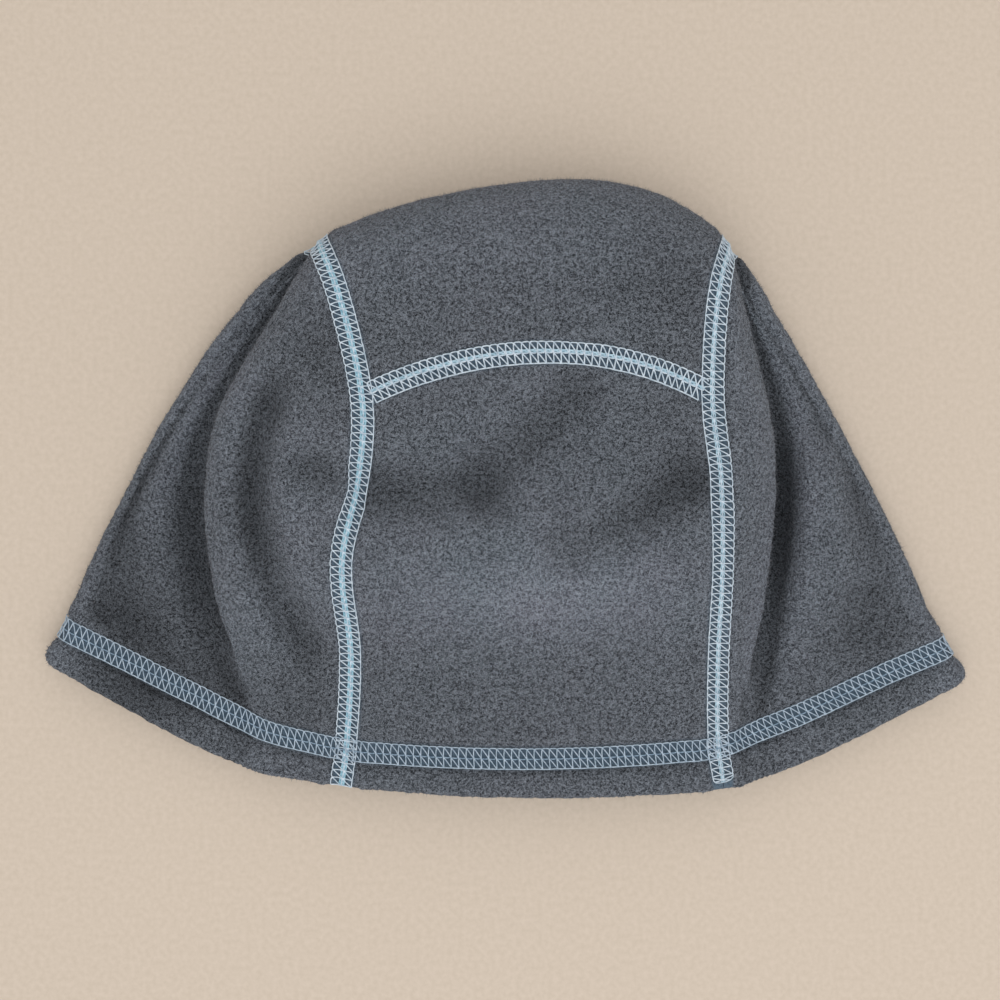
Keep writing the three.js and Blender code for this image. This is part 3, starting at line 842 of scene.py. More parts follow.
def close_tree(tree, geometry):
    real = add(tree, "GeometryNodeRealizeInstances", {"Geometry": geometry}).outputs[0]
    finish = tree.nodes.new("NodeGroupInput").outputs["Material"]
    dressed = add(tree, "GeometryNodeSetMaterial", {"Geometry": real, "Material": finish}).outputs[0]
    add(tree, "NodeGroupOutput", {"Geometry": dressed})


def apply_tree(obj, tree, **values):
    modifier = obj.modifiers.new(tree.name, "NODES")
    modifier.node_group = tree
    for item in tree.interface.items_tree:
        if item.in_out == "INPUT" and item.name in values:
            modifier[item.identifier] = values.pop(item.name)
    bpy.context.view_layer.update()
    mesh = bpy.data.meshes.new_from_object(obj.evaluated_get(bpy.context.evaluated_depsgraph_get()))
    obj.modifiers.clear()
    mesh.name = obj.name
    obj.data = mesh
    return obj


print("helpers ready, Blender", bpy.app.version_string)

# %% [markdown]
# ## The look of fleece
# Fleece is a knit whose fibres are brushed up and sheared. From near it shows small curled
# tufts, pale where their tips catch the light and dark in the pits between them. A fuzzy
# surface also shines softly at its rim, which the shader's sheen does. The tufts' noise is
# the one that will raise them below, so colour and relief agree. A noise seldom leaves the
# middle of its range, so each one is spread to full contrast. Curls come from the middle
# values of a second noise, which lie along winding lines. On bulges and in a few listed
# spots the colour is painted lighter and more even, a painted highlight, and in hollows it
# is painted darker, a painted shade. Under the stitches a bluish shade of the thread shines
# back. Curls, grain and fibres are too fine for a mesh and stay a bump. Colours are given as
# a screen shows them, from 0 to 255, and turned into the amounts of light that Blender counts.

# %% The look of fleece
def colour(red, green, blue):
    shares = (value / 255 for value in (red, green, blue))
    return tuple(s / 12.92 if s <= 0.04 else ((s + 0.055) / 1.055) ** 2.4 for s in shares) + (1,)


def material(title, finish):
    made = bpy.data.materials.new(title)
    made.use_nodes = True
    tree = made.node_tree
    shader = tree.nodes["Principled BSDF"]
    for label, value in finish.items():
        shader.inputs[label].default_value = value
    place = tree.nodes.new("ShaderNodeTexCoord").outputs["Object"]
    return made, tree, shader, place


def attribute(tree, name):
    return add(tree, "ShaderNodeAttribute", attribute_name=name).outputs["Fac"]


def noise(tree, place, size, detail=2.0):
    inputs = {"Vector": place, "Scale": 1 / (size * MM), "Detail": detail}
    return add(tree, "ShaderNodeTexNoise", inputs).outputs["Fac"]


def spread(tree, value, low, high, to_low=0.0, to_high=1.0):
    inputs = {"Value": value, "From Min": low, "From Max": high, "To Min": to_low, "To Max": to_high}
    return add(tree, "ShaderNodeMapRange", inputs, clamp=True).outputs["Result"]


def blend_colours(tree, share, first, second):
    made = add(tree, "ShaderNodeMix", {0: share}, data_type="RGBA")
    for index, value in ((6, first), (7, second)):
        if isinstance(value, bpy.types.NodeSocket):
            tree.links.new(value, made.inputs[index])
        else:
            made.inputs[index].default_value = value
    return made.outputs[2]


def weighted(tree, *parts):
    total = 0.0
    for weight, value in parts:
        total = number(tree, "MULTIPLY_ADD", value, weight, total)
    return total


TUFT_SIZE, CURL_SIZE, GRAIN_SIZE, FIBRE_SIZE = 0.85, 1.1, 0.34, 0.26
CURL_SPAN = 0.12
DYE_SIZE = 26
THREAD_SHINE = 0.85
BUMP_DEPTH = 0.4
PIT, TUFT_TIP = colour(2, 4, 7), colour(184, 195, 210)
BLUISH_DYE, WARM_DYE = colour(78, 93, 104), colour(104, 105, 120)
UNDER_THREADS = colour(92, 116, 136)
FLEECE_FINISH = {
    "Roughness": 0.95,
    "Specular IOR Level": 0.15,
    "Sheen Weight": 0.25,
    "Sheen Roughness": 0.45,
    "Sheen Tint": colour(190, 198, 214),
}

fleece, tree, shader, place = material("fleece", FLEECE_FINISH)
tufts = spread(tree, noise(tree, place, TUFT_SIZE, 0.0), 0.41, 0.59)
middle = number(tree, "SUBTRACT", noise(tree, place, CURL_SIZE, 0.0), 0.5)
curls = spread(tree, number(tree, "ABSOLUTE", middle), 0, CURL_SPAN, 1, 0)
grain = spread(tree, noise(tree, place, GRAIN_SIZE, 0.0), 0.41, 0.59)
fibres = spread(tree, noise(tree, place, FIBRE_SIZE, 0.0), 0.43, 0.57)
pits = weighted(tree, (0.24, tufts), (0.2, curls), (0.26, grain), (0.3, fibres))
cloth_colour = blend_colours(tree, spread(tree, pits, 0.11, 0.89), PIT, TUFT_TIP)
dye = spread(tree, noise(tree, place, DYE_SIZE, 3.0), 0.3, 0.7)
# Random dye tones that the colour takes on bulges, as part of the painted highlight.
painted_bulge_tone = blend_colours(tree, dye, BLUISH_DYE, WARM_DYE)
painted_shade_level = attribute(tree, "open")
shade = blend_colours(tree, spread(tree, painted_shade_level, 0, 1.3, 0, 0.4), cloth_colour, painted_bulge_tone)
# Painted shade and painted highlight: hollow scales the colour down in hollows, bulge scales it up on bulges.
hollow = spread(tree, painted_shade_level, -0.3, 0.5, 0.2, 0.68)
bulge = spread(tree, painted_shade_level, 0.5, 1.6, 0, 0.55)
shade = vector(tree, "SCALE", shade, scale=number(tree, "ADD", hollow, bulge))
under = number(tree, "MULTIPLY", attribute(tree, "stitched"), THREAD_SHINE)
shade = blend_colours(tree, under, shade, UNDER_THREADS)
height = weighted(tree, (1.0, tufts), (0.5, curls), (0.6, grain), (0.3, fibres))
bump = add(tree, "ShaderNodeBump", {"Height": height, "Strength": 0.9, "Distance": BUMP_DEPTH * MM})
tree.links.new(shade, shader.inputs["Base Color"])
tree.links.new(bump.outputs[0], shader.inputs["Normal"])
print("fleece nodes:", len(tree.nodes))

# %% [markdown]
# ## The look of the seam thread
# Flatlock seams are sewn with textured thread, matt and a little hairy. The top threads are
# a pale blue grey. The ones in the middle of the band are a clearer, watery blue, and the
# hem's are greyer. An attribute of the stitches picks the colour, from -1, grey, over 0,
# pale, to 1, watery.

# %% The look of the seam thread
THREAD_FINISH = {"Roughness": 0.7, "Sheen Weight": 0.2}

thread, tree, shader, place = material("seam_thread", THREAD_FINISH)
core = attribute(tree, "core")
twist = spread(tree, noise(tree, place, 0.9, 2.0), 0.3, 0.7)
pale = blend_colours(tree, twist, colour(170, 190, 207), colour(220, 234, 247))
water = blend_colours(tree, twist, colour(128, 176, 198), colour(172, 212, 230))
grey = blend_colours(tree, twist, colour(108, 136, 162), colour(158, 184, 208))
bright = blend_colours(tree, core, pale, water)
dull = number(tree, "MULTIPLY", core, -1.0)
tree.links.new(blend_colours(tree, dull, bright, grey), shader.inputs["Base Color"])
inputs = {"Height": noise(tree, place, 0.2), "Strength": 0.5, "Distance": 0.08 * MM}
fuzz = add(tree, "ShaderNodeBump", inputs)
tree.links.new(fuzz.outputs[0], shader.inputs["Normal"])
print("thread nodes:", len(tree.nodes))

# %% [markdown]
# ## Nap with Geometry Nodes
# Tufts almost a millimetre wide are large enough for real relief, and they break the
# outline of the cloth, which a bump can't. A displacement modifier could do it, but a node
# tree can also fade the nap at the seams and sink the pits inwards, so that the hat keeps
# its size. Slower lumps make the wall look a little uneven, as handled cloth does.

# %% Nap with Geometry Nodes
def nap_tree():
    sizes = {
        "Tuft size": ("Float", TUFT_SIZE * MM),
        "Tuft height": ("Float", 0.32 * MM),
        "Lump size": ("Float", 6 * MM),
        "Lump height": ("Float", 0.25 * MM),
        "Lump seed": ("Float", 0.0),
        "Material": ("Material", None),
    }
    tree, given = geometry_tree("fleece nap", sizes)
    place = tree.nodes.new("GeometryNodeInputPosition").outputs[0]
    scale = number(tree, "DIVIDE", 1.0, given["Tuft size"])
    small = add(tree, "ShaderNodeTexNoise", {"Vector": place, "Scale": scale, "Detail": 0.0}).outputs[0]
    options = {"Vector": place, "W": given["Lump seed"], "Detail": 2.0}
    options["Scale"] = number(tree, "DIVIDE", 1.0, given["Lump size"])
    large = add(tree, "ShaderNodeTexNoise", options, noise_dimensions="4D").outputs[0]
    small, large = spread(tree, small, 0.4, 0.6), spread(tree, large, 0.33, 0.67)
    pit = number(tree, "MULTIPLY", number(tree, "SUBTRACT", 1.0, small), given["Tuft height"])
    hollow = number(tree, "MULTIPLY", number(tree, "SUBTRACT", 1.0, large), given["Lump height"])
    depth = number(tree, "MULTIPLY", named(tree, "nap_depth"), -1.0)
    sink = number(tree, "MULTIPLY", number(tree, "ADD", pit, hollow), depth)
    normal = tree.nodes.new("GeometryNodeInputNormal").outputs[0]
    offset = vector(tree, "SCALE", normal, scale=sink)
    moved = add(tree, "GeometryNodeSetPosition", {"Geometry": given["Geometry"], "Offset": offset})
    close_tree(tree, moved.outputs[0])
    return tree


nap = nap_tree()
print("inputs of the nap:", [item.name for item in nap.interface.items_tree])

# %% [markdown]
# ## A bed for the stitches
# Stitches lie on the cloth before the nap rises round them, so they need the smooth surface.
# We join copies of the four smooth panels into one bed, which the seams are laid on and
# which is thrown away afterwards.

# %% A bed for the stitches
bed_mesh = bpy.data.meshes.new("seam_bed")
bed_points, bed_faces = [], []
for panel in panels.values():
    rows, columns, _ = panel["outer"].shape
    bed_faces += quads(len(bed_points) + np.arange(rows * columns).reshape(rows, columns))
    bed_points += (panel["outer"].reshape(-1, 3) * MM).tolist()
bed_mesh.from_pydata(bed_points, [], bed_faces)
bed = new_object("seam_bed", bed_mesh)
print("bed faces:", len(bed_mesh.polygons))

# %% [markdown]
# ## The seams' routes
# The two long seams run from the back hem over the crown's corner and down the front to the
# front hem. They follow the border of the side panels, so we read the border's points and
# normals, round the corner off a little and space the points evenly. The arch seam follows
# the top of the front panel, and the hem's stitching goes all round the hat.

# %% The seams' routes
ROUTE_STEP = 0.5
FIRST_NOSE_ROW = 5
CORNER_SMOOTHING = 7
LINE_SMOOTHING = 3


def even_route(points, normals, smoothing):
    run = run_along(points, 0)
    count = int(run[-1] / ROUTE_STEP)
    at = np.linspace(0, run[-1], count + 1)
    both = np.concatenate([points, normals], axis=1)
    both = np.stack([np.interp(at, run, line) for line in both.T], axis=1)
    reach = int(smoothing / ROUTE_STEP / 2)
    padded = np.pad(both, ((reach, reach), (0, 0)), mode="reflect", reflect_type="odd")
    weights = np.hanning(2 * reach + 3)[1:-1]
    weights /= weights.sum()
    both = np.stack([np.convolve(line, weights, "valid") for line in padded.T], axis=1)
    return both[:, :3], direction(both[:, 3:])


def side_route(name, front_trim):
    points, normals = panels[name]["outer"], panels[name]["outer_normals"]
    if name.endswith("left"):
        points, normals = points[:, ::-1], normals[:, ::-1]
    legs = [(slice(FIRST_NOSE_ROW, -1), -1), (-1, slice(None, None, -1)), (slice(-2, FIRST_NOSE_ROW, -1), 0)]
    route, ways = (np.concatenate([grid[leg] for leg in legs]) for grid in (points, normals))
    route, ways = even_route(route, ways, CORNER_SMOOTHING)
    end = len(route) - int(front_trim / ROUTE_STEP)
    return route[:end], ways[:end]


def hem_route():
    route, ways = [], []
    for name in ("front_panel", "side_panel_right", "crown_panel", "side_panel_left"):
        panel = panels[name]
        band = np.abs(panel["below_stitching"] - SEAM_WIDTH / 2)
        row = np.argmin(band, axis=0)
        lines = np.arange(band.shape[1])
        before = np.clip(row - 1, 0, None)
        offset = panel["below_stitching"][row, lines] - SEAM_WIDTH / 2
        length = panel["below_stitching"][before, lines] - panel["below_stitching"][row + 1, lines]
        share = (offset / length)[:, None]
        grid, normals = panel["pressed"], panel["normals"]
        route.append(grid[row, lines] + (grid[row + 1, lines] - grid[before, lines]) * share)
        ways.append(normals[row, lines])
    start = len(route[0]) + len(route[1]) + len(route[2]) // 2
    route, ways = (np.roll(np.concatenate(part), -start, axis=0) for part in (route, ways))
    route, ways = (np.concatenate([part, part[:1]]) for part in (route, ways))
    return even_route(route, ways, LINE_SMOOTHING)


def arch_route(trim):
    front = panels["front_panel"]
    route, ways = even_route(front["outer"][-1], front["outer_normals"][-1], LINE_SMOOTHING)
    cut = int(trim / ROUTE_STEP)
    return route[cut:-cut], ways[cut:-cut]


routes = {
    "left_seam": side_route("side_panel_left", front_trim=0),
    "right_seam": side_route("side_panel_right", front_trim=2),
    "arch_seam": arch_route(trim=SEAM_WIDTH / 2 + 0.2),
    "hem": hem_route(),
}
print({name: round(float(run_along(route, 0)[-1])) for name, (route, _) in routes.items()}, "mm")

# %% [markdown]
# ## One stitch
# A flatlock stitch repeats every 2.2 mm. A bar crosses the band, one slanting thread joins
# the bar's start to the middle of the next bar, and another joins its middle to the end of
# the next. One edge is a row of loops, the other the straight line of the outer needle.
# The stitch is drawn as open threads in units: one along is a stitch, one across is half
# the band, and one up is the radius of the thread. Fine strands fill the middle of the
# band: broad and watery in the left seam, narrower and paler in the right one, a thin line
# beside the middle in the arch seam, and none at the hem. At the front hem the left seam
# ends with one more bar and the right one with a rounded loop, where its threads run
# together.

# %% One stitch
BARS = [
    [(0.02, -1, 1.0), (-0.03, -0.5, 1.5), (0.0, 0, 2.2), (0.05, 0.5, 1.5), (0.1, 1, 1.0)],
    [(0.02, -1, 0.4), (0.36, -0.68, 0.8), (0.7, -0.34, 1.3), (1.0, 0, 1.9)],
    [(0.0, 0, 1.9), (0.36, 0.3, 1.3), (0.74, 0.66, 0.8), (1.1, 1, 0.4)],
]
MIDDLE_LINE = [(0.1, 0, 1.6), (0.48, 0.03, 1.9), (0.85, 0, 1.6)]
CORE_LINES = {
    "left": (-0.24, -0.16, -0.08, 0, 0.08, 0.16, 0.24),
    "right": (-0.17, -0.06, 0.05, 0.16),
    "arch": (-0.3, -0.18, -0.06),
    "hem": (),
}
CORE_TINT = {"left": 1, "right": 0.6, "arch": 0.6, "hem": 0}
THREAD_TINT = {"left": 0, "right": 0, "arch": 0, "hem": -1}
CORE_WAVE = 0.03
BAR_SHIFT = {-1: 0.02, 1: 0.1}
CLOSING_BAR = [(0.95, -1, 1.0), (0.92, -0.5, 1.4), (0.95, 0, 1.5), (1.0, 0.5, 1.4), (1.03, 1, 1.0)]
CLOSING_LOOP = [
    BARS[0],
    [(0.02, -1, 0.6), (0.5, -0.98, 0.9), (0.85, -0.8, 1.1), (1.02, -0.35, 1.2), (1.04, 0.2, 1.2)],
    [(1.04, 0.2, 1.2), (0.9, 0.75, 1.1), (0.55, 1.05, 0.9), (0.1, 1.05, 0.7)],
    [(0.25, -0.98, 0.8), (0.62, 0.02, 1.7), (0.35, 1.05, 0.8)],
    [(0.75, -0.88, 1.0), (0.66, 0.02, 1.8), (0.88, 0.8, 1.0)],
]


def loops(edge):
    start, wide = BAR_SHIFT[edge], 1.08 * edge
    return [(start, edge, 0.6), (start + 0.25, wide, 0.8), (start + 0.75, wide, 0.8), (start + 1, edge, 0.6)]


def needle_line(edge):
    start = BAR_SHIFT[edge]
    return [(start, edge, 0.3), (start + 0.5, 0.985 * edge, 1.1), (start + 1, edge, 0.3)]


def core_strand(line, turn):
    wave = CORE_WAVE * turn
    return [(0, line, 0.8), (0.33, line + wave, 1.2), (0.67, line - wave, 1.2), (1, line, 0.8)]


def stitch(seam, lines, which="stitch"):
    tint = THREAD_TINT[seam]
    threads = [(line, tint / 2) for line in lines] + [(MIDDLE_LINE, tint)]
    strands = enumerate(CORE_LINES[seam])
    threads += [(core_strand(line, (-1) ** i), CORE_TINT[seam]) for i, line in strands]
    points, edges, tints = [], [], []
    for line, value in threads:
        edges += [(len(points) + i, len(points) + i + 1) for i in range(len(line) - 1)]
        points += line
        tints += [value] * len(line)
    mesh = bpy.data.meshes.new(f"{which}_of_{seam}_seam")
    mesh.from_pydata(points, edges, [])
    mesh.attributes.new("core", "FLOAT", "POINT").data.foreach_set("value", np.array(tints, np.float32))
    return new_object(mesh.name, mesh)


LOOPS_FIRST = BARS + [loops(-1), needle_line(1)]
LOOPS_LAST = BARS + [needle_line(-1), loops(1)]
units = {
    "arch": stitch("arch", LOOPS_FIRST),
    "hem": stitch("hem", LOOPS_FIRST),
    "left": stitch("left", LOOPS_FIRST),
    "left end": stitch("left", LOOPS_FIRST + [CLOSING_BAR], "last_stitch"),
    "right": stitch("right", LOOPS_LAST),
    "right end": stitch("right", CLOSING_LOOP, "last_stitch"),
}
core_counts = {name: len(lines) for name, lines in CORE_LINES.items()}
print("threads in a stitch:", len(LOOPS_FIRST) + 1, "and in its core:", core_counts)

# %% [markdown]
# ## Sewing with Geometry Nodes
# A seam is one stitch repeated and bent along a route, which is what Geometry Nodes do well.
# The tree lines the stitches up in a row that ends with a stitch of its own, stretches the
# row to the route's length and reads place, direction and normal from the route for every
# point. A ray then drops each point onto the bed. Where it finds no cloth near by, in the
# slit of a seam or past a tight corner, the point goes to the nearest cloth. Noise keeps
# the stitches from being alike. Each of these steps is a function of its own.

# %% Sewing with Geometry Nodes
STITCH_LENGTH = 2.2
RAY_START = 4
NEAR_CLOTH = 1.6
TUBE_SIDES = 5


def enabled(sockets, name):
    return next(socket for socket in sockets if socket.name == name and socket.enabled)


def row_of_stitches(tree, given, count):
    row = add(tree, "GeometryNodeMeshLine", {"Count": count, "Offset": (1, 0, 0)}, mode="OFFSET")
    index = tree.nodes.new("GeometryNodeInputIndex").outputs[0]
    last = number(tree, "GREATER_THAN", index, number(tree, "SUBTRACT", count, 1.5))
    stitches = tree.nodes.new("GeometryNodeJoinGeometry")
    for label, chosen in (("Stitch", number(tree, "SUBTRACT", 1.0, last)), ("Last stitch", last)):
        drawing = add(tree, "GeometryNodeObjectInfo", {"Object": given[label]}).outputs["Geometry"]
        inputs = {"Points": row.outputs[0], "Selection": chosen, "Instance": drawing}
        made = add(tree, "GeometryNodeInstanceOnPoints", inputs)
        tree.links.new(made.outputs[0], stitches.inputs[0])
    return add(tree, "GeometryNodeRealizeInstances", {"Geometry": stitches.outputs[0]}).outputs[0]


def uneven_drawing(tree, given):
    flat = tree.nodes.new("GeometryNodeInputPosition").outputs[0]
    inputs = {"Vector": flat, "W": given["Seed"], "Scale": 0.9, "Detail": 1.0}
    wobble = add(tree, "ShaderNodeTexNoise", inputs, noise_dimensions="4D").outputs["Color"]
    wobble = vector(tree, "SUBTRACT", wobble, (0.5, 0.5, 0.5))
    wobble = vector(tree, "SCALE", wobble, scale=given["Unevenness"])
    return add(tree, "ShaderNodeSeparateXYZ", {0: vector(tree, "ADD", flat, wobble)}).outputs


def along_route(tree, given, route, drawn, pitch):
    inputs = {"Curves": route, "Length": number(tree, "MULTIPLY", drawn["X"], pitch)}
    sample = add(tree, "GeometryNodeSampleCurve", inputs, mode="LENGTH", data_type="FLOAT_VECTOR")
    tree.links.new(named(tree, "facing", "FLOAT_VECTOR"), enabled(sample.inputs, "Value"))
    up = vector(tree, "NORMALIZE", enabled(sample.outputs, "Value"))
    sideways = vector(tree, "NORMALIZE", vector(tree, "CROSS_PRODUCT", up, sample.outputs["Tangent"]))
    half_width = number(tree, "MULTIPLY", given["Half width"], given["Direction"])
    aside = vector(tree, "SCALE", sideways, scale=number(tree, "MULTIPLY", drawn["Y"], half_width))
    return vector(tree, "ADD", sample.outputs["Position"], aside), up


def nearest_cloth(tree, given, framed, up):
    start = RAY_START * MM
    source = vector(tree, "ADD", framed, vector(tree, "SCALE", up, scale=start))
    cloth = add(tree, "GeometryNodeObjectInfo", {"Object": given["Bed"]}).outputs["Geometry"]
    inputs = {"Target Geometry": cloth, "Source Position": source, "Ray Length": 2 * start}
    inputs["Ray Direction"] = vector(tree, "SCALE", up, scale=-1.0)
    ray = add(tree, "GeometryNodeRaycast", inputs)
    error = number(tree, "ABSOLUTE", number(tree, "SUBTRACT", ray.outputs["Hit Distance"], start))
    near = number(tree, "LESS_THAN", error, NEAR_CLOTH * MM)
    hit = number(tree, "MULTIPLY", near, ray.outputs["Is Hit"])
    closest = add(tree, "GeometryNodeProximity", {"Geometry": cloth, "Sample Position": framed})
    landed = add(tree, "GeometryNodeSwitch", {"Switch": hit}, input_type="VECTOR")
    tree.links.new(closest.outputs["Position"], enabled(landed.inputs, "False"))
    tree.links.new(ray.outputs["Hit Position"], enabled(landed.inputs, "True"))
    return enabled(landed.outputs, "Output")


def above_cloth(tree, given, base, up, drawn):
    lift = number(tree, "MULTIPLY_ADD", drawn["Z"], given["Thread radius"], given["Lift"])
    place = vector(tree, "ADD", base, vector(tree, "SCALE", up, scale=lift))
    free = add(tree, "ShaderNodeSeparateXYZ", {0: place}).outputs
    above_table = number(tree, "MAXIMUM", free["Z"], given["Thread radius"])
    inputs = {"X": free["X"], "Y": free["Y"], "Z": above_table}
    return add(tree, "ShaderNodeCombineXYZ", inputs).outputs[0]


def tubes_on(tree, given, threads):
    lines = add(tree, "GeometryNodeMeshToCurve", {"Mesh": threads}).outputs[0]
    inputs = {"Resolution": TUBE_SIDES, "Radius": given["Thread radius"]}
    circle = add(tree, "GeometryNodeCurvePrimitiveCircle", inputs).outputs[0]
    inputs = {"Curve": lines, "Profile Curve": circle, "Fill Caps": True}
    return add(tree, "GeometryNodeCurveToMesh", inputs).outputs[0]


print("a stitch is", STITCH_LENGTH, "mm long and its band", SEAM_WIDTH, "mm wide")

# %% [markdown]
# ## The sewing tree
# All four seams share one tree, because what differs between them is an input: the drawn
# stitches, the thread, how high it lies and to which side the loops point. The route is
# filled with a whole number of stitches, so each is stretched or squeezed a little.

# %% The sewing tree
def sewing_tree():
    sizes = {
        "Stitch": ("Object", None),
        "Last stitch": ("Object", None),
        "Bed": ("Object", None),
        "Stitch length": ("Float", STITCH_LENGTH * MM),
        "Half width": ("Float", SEAM_WIDTH / 2 * MM),
        "Thread radius": ("Float", 0.18 * MM),
        "Lift": ("Float", 0.1 * MM),
        "Direction": ("Float", 1.0),
        "Unevenness": ("Float", 0.12),
        "Seed": ("Float", 1.0),
        "Material": ("Material", None),
    }
    tree, given = geometry_tree("flatlock seam", sizes)
    route = add(tree, "GeometryNodeMeshToCurve", {"Mesh": given["Geometry"]}).outputs[0]
    length = add(tree, "GeometryNodeCurveLength", {"Curve": route}).outputs[0]
    count = number(tree, "ROUND", number(tree, "DIVIDE", length, given["Stitch length"]))
    threads = row_of_stitches(tree, given, count)
    drawn = uneven_drawing(tree, given)
    framed, up = along_route(tree, given, route, drawn, number(tree, "DIVIDE", length, count))
    base = nearest_cloth(tree, given, framed, up)
    place = above_cloth(tree, given, base, up, drawn)
    laid = add(tree, "GeometryNodeSetPosition", {"Geometry": threads, "Position": place}).outputs[0]
    close_tree(tree, tubes_on(tree, given, laid))
    return tree


sewing = sewing_tree()
print("inputs of the seam:", [item.name for item in sewing.interface.items_tree])

# %% [markdown]
# ## Sew the seams
# Each route becomes an open line with the cloth's normals stored on it, and the tree sews
# along it. The hem is stitched last on the real hat, so its threads lie highest. In the
# photograph its thread is greyer and thinner than that of the long seams, and the thread of
# the arch seam is a little thicker.

# %% Sew the seams
def sew(name, stitch_name, last_name, seed, **options):
    route, ways = routes[name]
    mesh = bpy.data.meshes.new(name + "_stitches")
    mesh.from_pydata((route * MM).tolist(), [(i, i + 1) for i in range(len(route) - 1)], [])
    facing = mesh.attributes.new("facing", "FLOAT_VECTOR", "POINT")
    facing.data.foreach_set("vector", ways.astype(np.float32).ravel())
    seam = new_object(name + "_stitches", mesh)
    options.update({"Stitch": units[stitch_name], "Last stitch": units[last_name]})
    apply_tree(seam, sewing, Bed=bed, Seed=seed, Material=thread, **options)
    seam.data.shade_smooth()
    return seam


ARCH_OPTIONS = {"Direction": -1.0, "Lift": 0.15 * MM, "Thread radius": 0.21 * MM}
HEM_OPTIONS = {"Direction": -1.0, "Lift": 0.3 * MM, "Thread radius": 0.17 * MM}
seams = {
    "left_seam": sew("left_seam", "left", "left end", 1.0),
    "right_seam": sew("right_seam", "right", "right end", 2.0),
    "arch_seam": sew("arch_seam", "arch", "arch", 3.0, **ARCH_OPTIONS),
    "hem": sew("hem", "hem", "hem", 4.0, **HEM_OPTIONS),
}
for spare in (bed, *units.values()):
    bpy.data.objects.remove(spare)
print({seam.name: len(seam.data.polygons) for seam in seams.values()})

# %% [markdown]
# ## Raise the nap
# Now that the stitches are laid, the nap tree is applied to every panel.

# %% Raise the nap
for seed, cloth in enumerate(fleeces.values()):
    apply_tree(cloth, nap, **{"Material": fleece, "Lump seed": float(seed)})
print({cloth.name: len(cloth.data.vertices) for cloth in fleeces.values()})

# %% [markdown]
# ## Loose fibres
# Single fibres stand out of brushed fleece. They blur its outline and the lips of its
# folds, where the pile opens. Hair particles would do, but they aren't a mesh. So a node
# tree scatters thin spikes over the cloth, more of them where it bulges, fewer under the
# stitches and none on the underside, which the table presses flat. Each has its own length
# and leans its own way.

# %% Loose fibres
FULL_TURN = 6.283
FIBRE_FINISH = {"Roughness": 0.9, "Specular IOR Level": 0.2}

loose_fibre, tree, shader, place = material("loose_fibres", FIBRE_FINISH)
mixed = spread(tree, noise(tree, place, 0.6, 1.0), 0.36, 0.64)
fibre_colour = blend_colours(tree, mixed, colour(60, 64, 71), colour(150, 152, 160))
tree.links.new(fibre_colour, shader.inputs["Base Color"])


def chances(tree, given):
    inputs = {1: (1.0, 1.0, FULL_TURN), "Seed": given["Seed"]}
    chance = add(tree, "FunctionNodeRandomValue", inputs, data_type="FLOAT_VECTOR").outputs[0]
    return add(tree, "ShaderNodeSeparateXYZ", {0: chance}).outputs


def leaning(tree, given, upright, chance):
    lean = number(tree, "MULTIPLY", chance["X"], given["Lean"])
    tilt = add(tree, "ShaderNodeCombineXYZ", {"X": lean, "Z": chance["Z"]}).outputs[0]
    tilt = add(tree, "FunctionNodeEulerToRotation", {0: tilt}).outputs[0]
    inputs = {"Rotation": upright, "Rotate By": tilt}
    return add(tree, "FunctionNodeRotateRotation", inputs, rotation_space="LOCAL").outputs[0]


def fuzz_tree():
    sizes = {
        "Fibres per square metre": ("Float", 1.6e6),
        "Fibre length": ("Float", 1.0 * MM),
        "Fibre radius": ("Float", 0.05 * MM),
        "Lean": ("Float", 1.0),
        "Height above table": ("Float", 1.4 * MM),
        "Seed": ("Int", 0),
        "Material": ("Material", None),
    }
    tree, given = geometry_tree("loose fibres", sizes)
    place = tree.nodes.new("GeometryNodeInputPosition").outputs[0]
    level = add(tree, "ShaderNodeSeparateXYZ", {0: place}).outputs["Z"]
    clear = number(tree, "GREATER_THAN", level, given["Height above table"])
    opened = spread(tree, named(tree, "open"), 0.3, 1.0, 0.25, 1.0)
    share = number(tree, "MULTIPLY", number(tree, "MULTIPLY", named(tree, "nap_depth"), clear), opened)
    density = number(tree, "MULTIPLY", share, given["Fibres per square metre"])
    inputs = {"Mesh": given["Geometry"], "Density": density, "Seed": given["Seed"]}
    roots = add(tree, "GeometryNodeDistributePointsOnFaces", inputs).outputs
    inputs = {"Vertices": 3, "Radius Bottom": given["Fibre radius"], "Depth": given["Fibre length"]}
    spike = add(tree, "GeometryNodeMeshCone", inputs).outputs[0]
    chance = chances(tree, given)
    way = leaning(tree, given, roots["Rotation"], chance)
    size = spread(tree, chance["Y"], 0, 1, 0.5, 1.2)
    inputs = {"Points": roots["Points"], "Instance": spike, "Rotation": way, "Scale": size}
    close_tree(tree, add(tree, "GeometryNodeInstanceOnPoints", inputs).outputs[0])
    return tree


fuzz, fibres_on = fuzz_tree(), {}
for seed, (name, cloth) in enumerate(fleeces.items()):
    fibres = new_object(name + "_fibres", cloth.data.copy())
    fibres_on[name] = apply_tree(fibres, fuzz, Material=loose_fibre, Seed=seed)
print({fibres.name: len(fibres.data.polygons) for fibres in fibres_on.values()}, "faces")

# %% [markdown]
# ## The table and the light
# The hat lies on a plain pale surface. In the photograph soft light comes from above, a
# little more from the hem's side, and the shadows are faint and warm. A large lamp gives
# the direction and a pale sky fills the shade. The floor lies a hair below the hat, so that
# the two never share a plane.

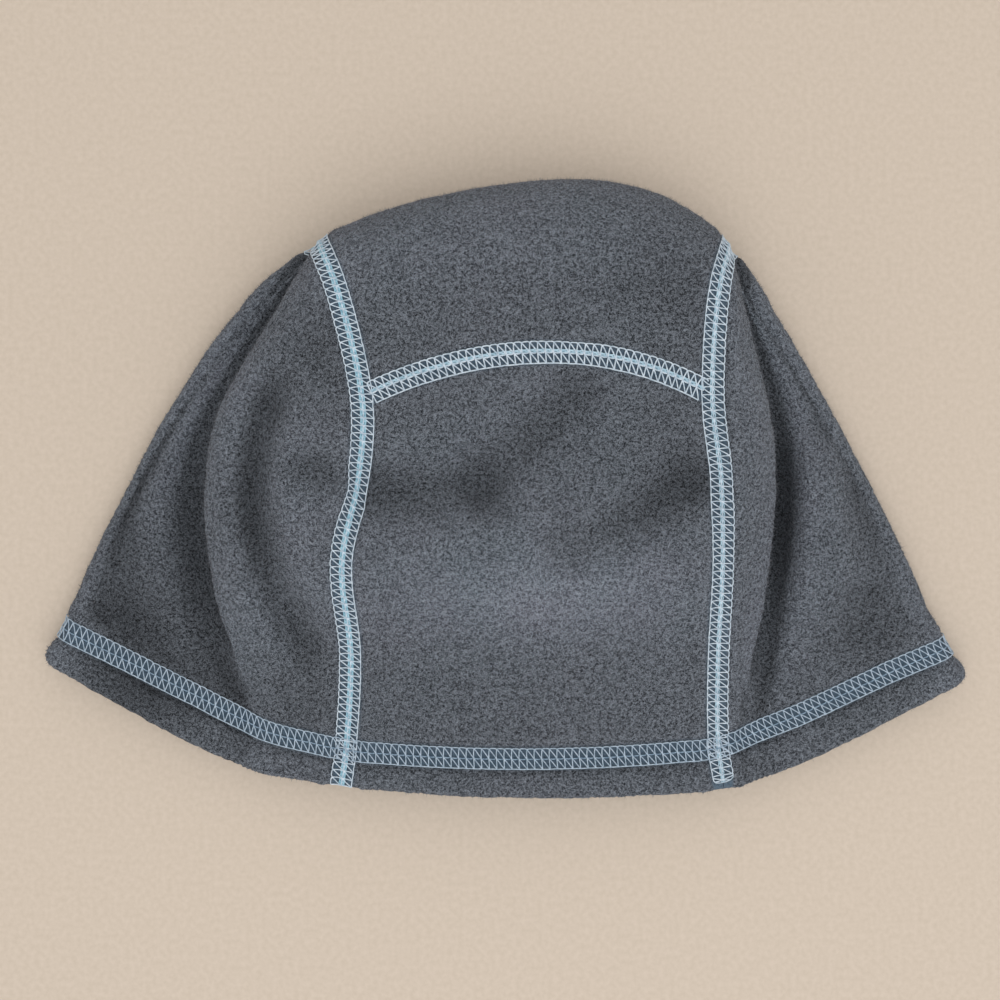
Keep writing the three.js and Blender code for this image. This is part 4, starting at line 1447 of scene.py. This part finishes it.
# %% The table and the light
FLOOR_HALF = 1200
FLOOR_BELOW = 0.1
LAMP_PLACE = Vector((0.17, -0.5, 1.24))
LAMP_SIZE = 1.6
LAMP_POWER = 9.0
SKY_COLOUR, SKY_STRENGTH = colour(255, 250, 244), 0.68

half = FLOOR_HALF * MM
floor_mesh = bpy.data.meshes.new("floor")
corners = [(-half, -half, 0), (half, -half, 0), (half, half, 0), (-half, half, 0)]
floor_mesh.from_pydata(corners, [], [(0, 1, 2, 3)])
floor = new_object("floor", floor_mesh)
floor.location.z = -FLOOR_BELOW * MM
table, tree, shader, place = material("pale_table", {"Roughness": 0.8})
mottle = spread(tree, noise(tree, place, 1.6, 2.0), 0.3, 0.7)
table_colour = blend_colours(tree, mottle, colour(206, 193, 178), colour(214, 201, 187))
tree.links.new(table_colour, shader.inputs["Base Color"])
floor_mesh.materials.append(table)

light = bpy.data.lights.new("window", "AREA")
light.size = LAMP_SIZE
light.energy = LAMP_POWER
lamp = new_object("window", light)
lamp.location = LAMP_PLACE
lamp.rotation_euler = LAMP_PLACE.to_track_quat("Z", "Y").to_euler()
world = bpy.data.worlds.new("room")
world.use_nodes = True
world.node_tree.nodes["Background"].inputs["Color"].default_value = SKY_COLOUR
world.node_tree.nodes["Background"].inputs["Strength"].default_value = SKY_STRENGTH
scene.world = world
scene.view_settings.view_transform = "Standard"

# %% [markdown]
# ## Attach every piece to the body
# Every piece rides on the hat's one body. The four panels stand for the imported ones,
# which are hidden.


def declare_sheet(name):
    cloth, panel, fibres = fleeces[name], panels[name], fibres_on[name]
    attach(cloth, "root")
    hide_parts(name)


for seam in seams.values():
    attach(seam, "root")
for fibres in fibres_on.values():
    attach(fibres, "root")
declare_sheet("crown_panel")
declare_sheet("front_panel")
declare_sheet("side_panel_left")
declare_sheet("side_panel_right")

# %% [markdown]
# ## Count the triangles
# The triangles of a mesh are its corners less two for each face.

# %% Count the triangles
pieces = [*fleeces.values(), *seams.values(), *fibres_on.values()]
triangles = {o.name: len(o.data.loops) - 2 * len(o.data.polygons) for o in pieces}
print(triangles, sum(triangles.values()), "triangles in all")
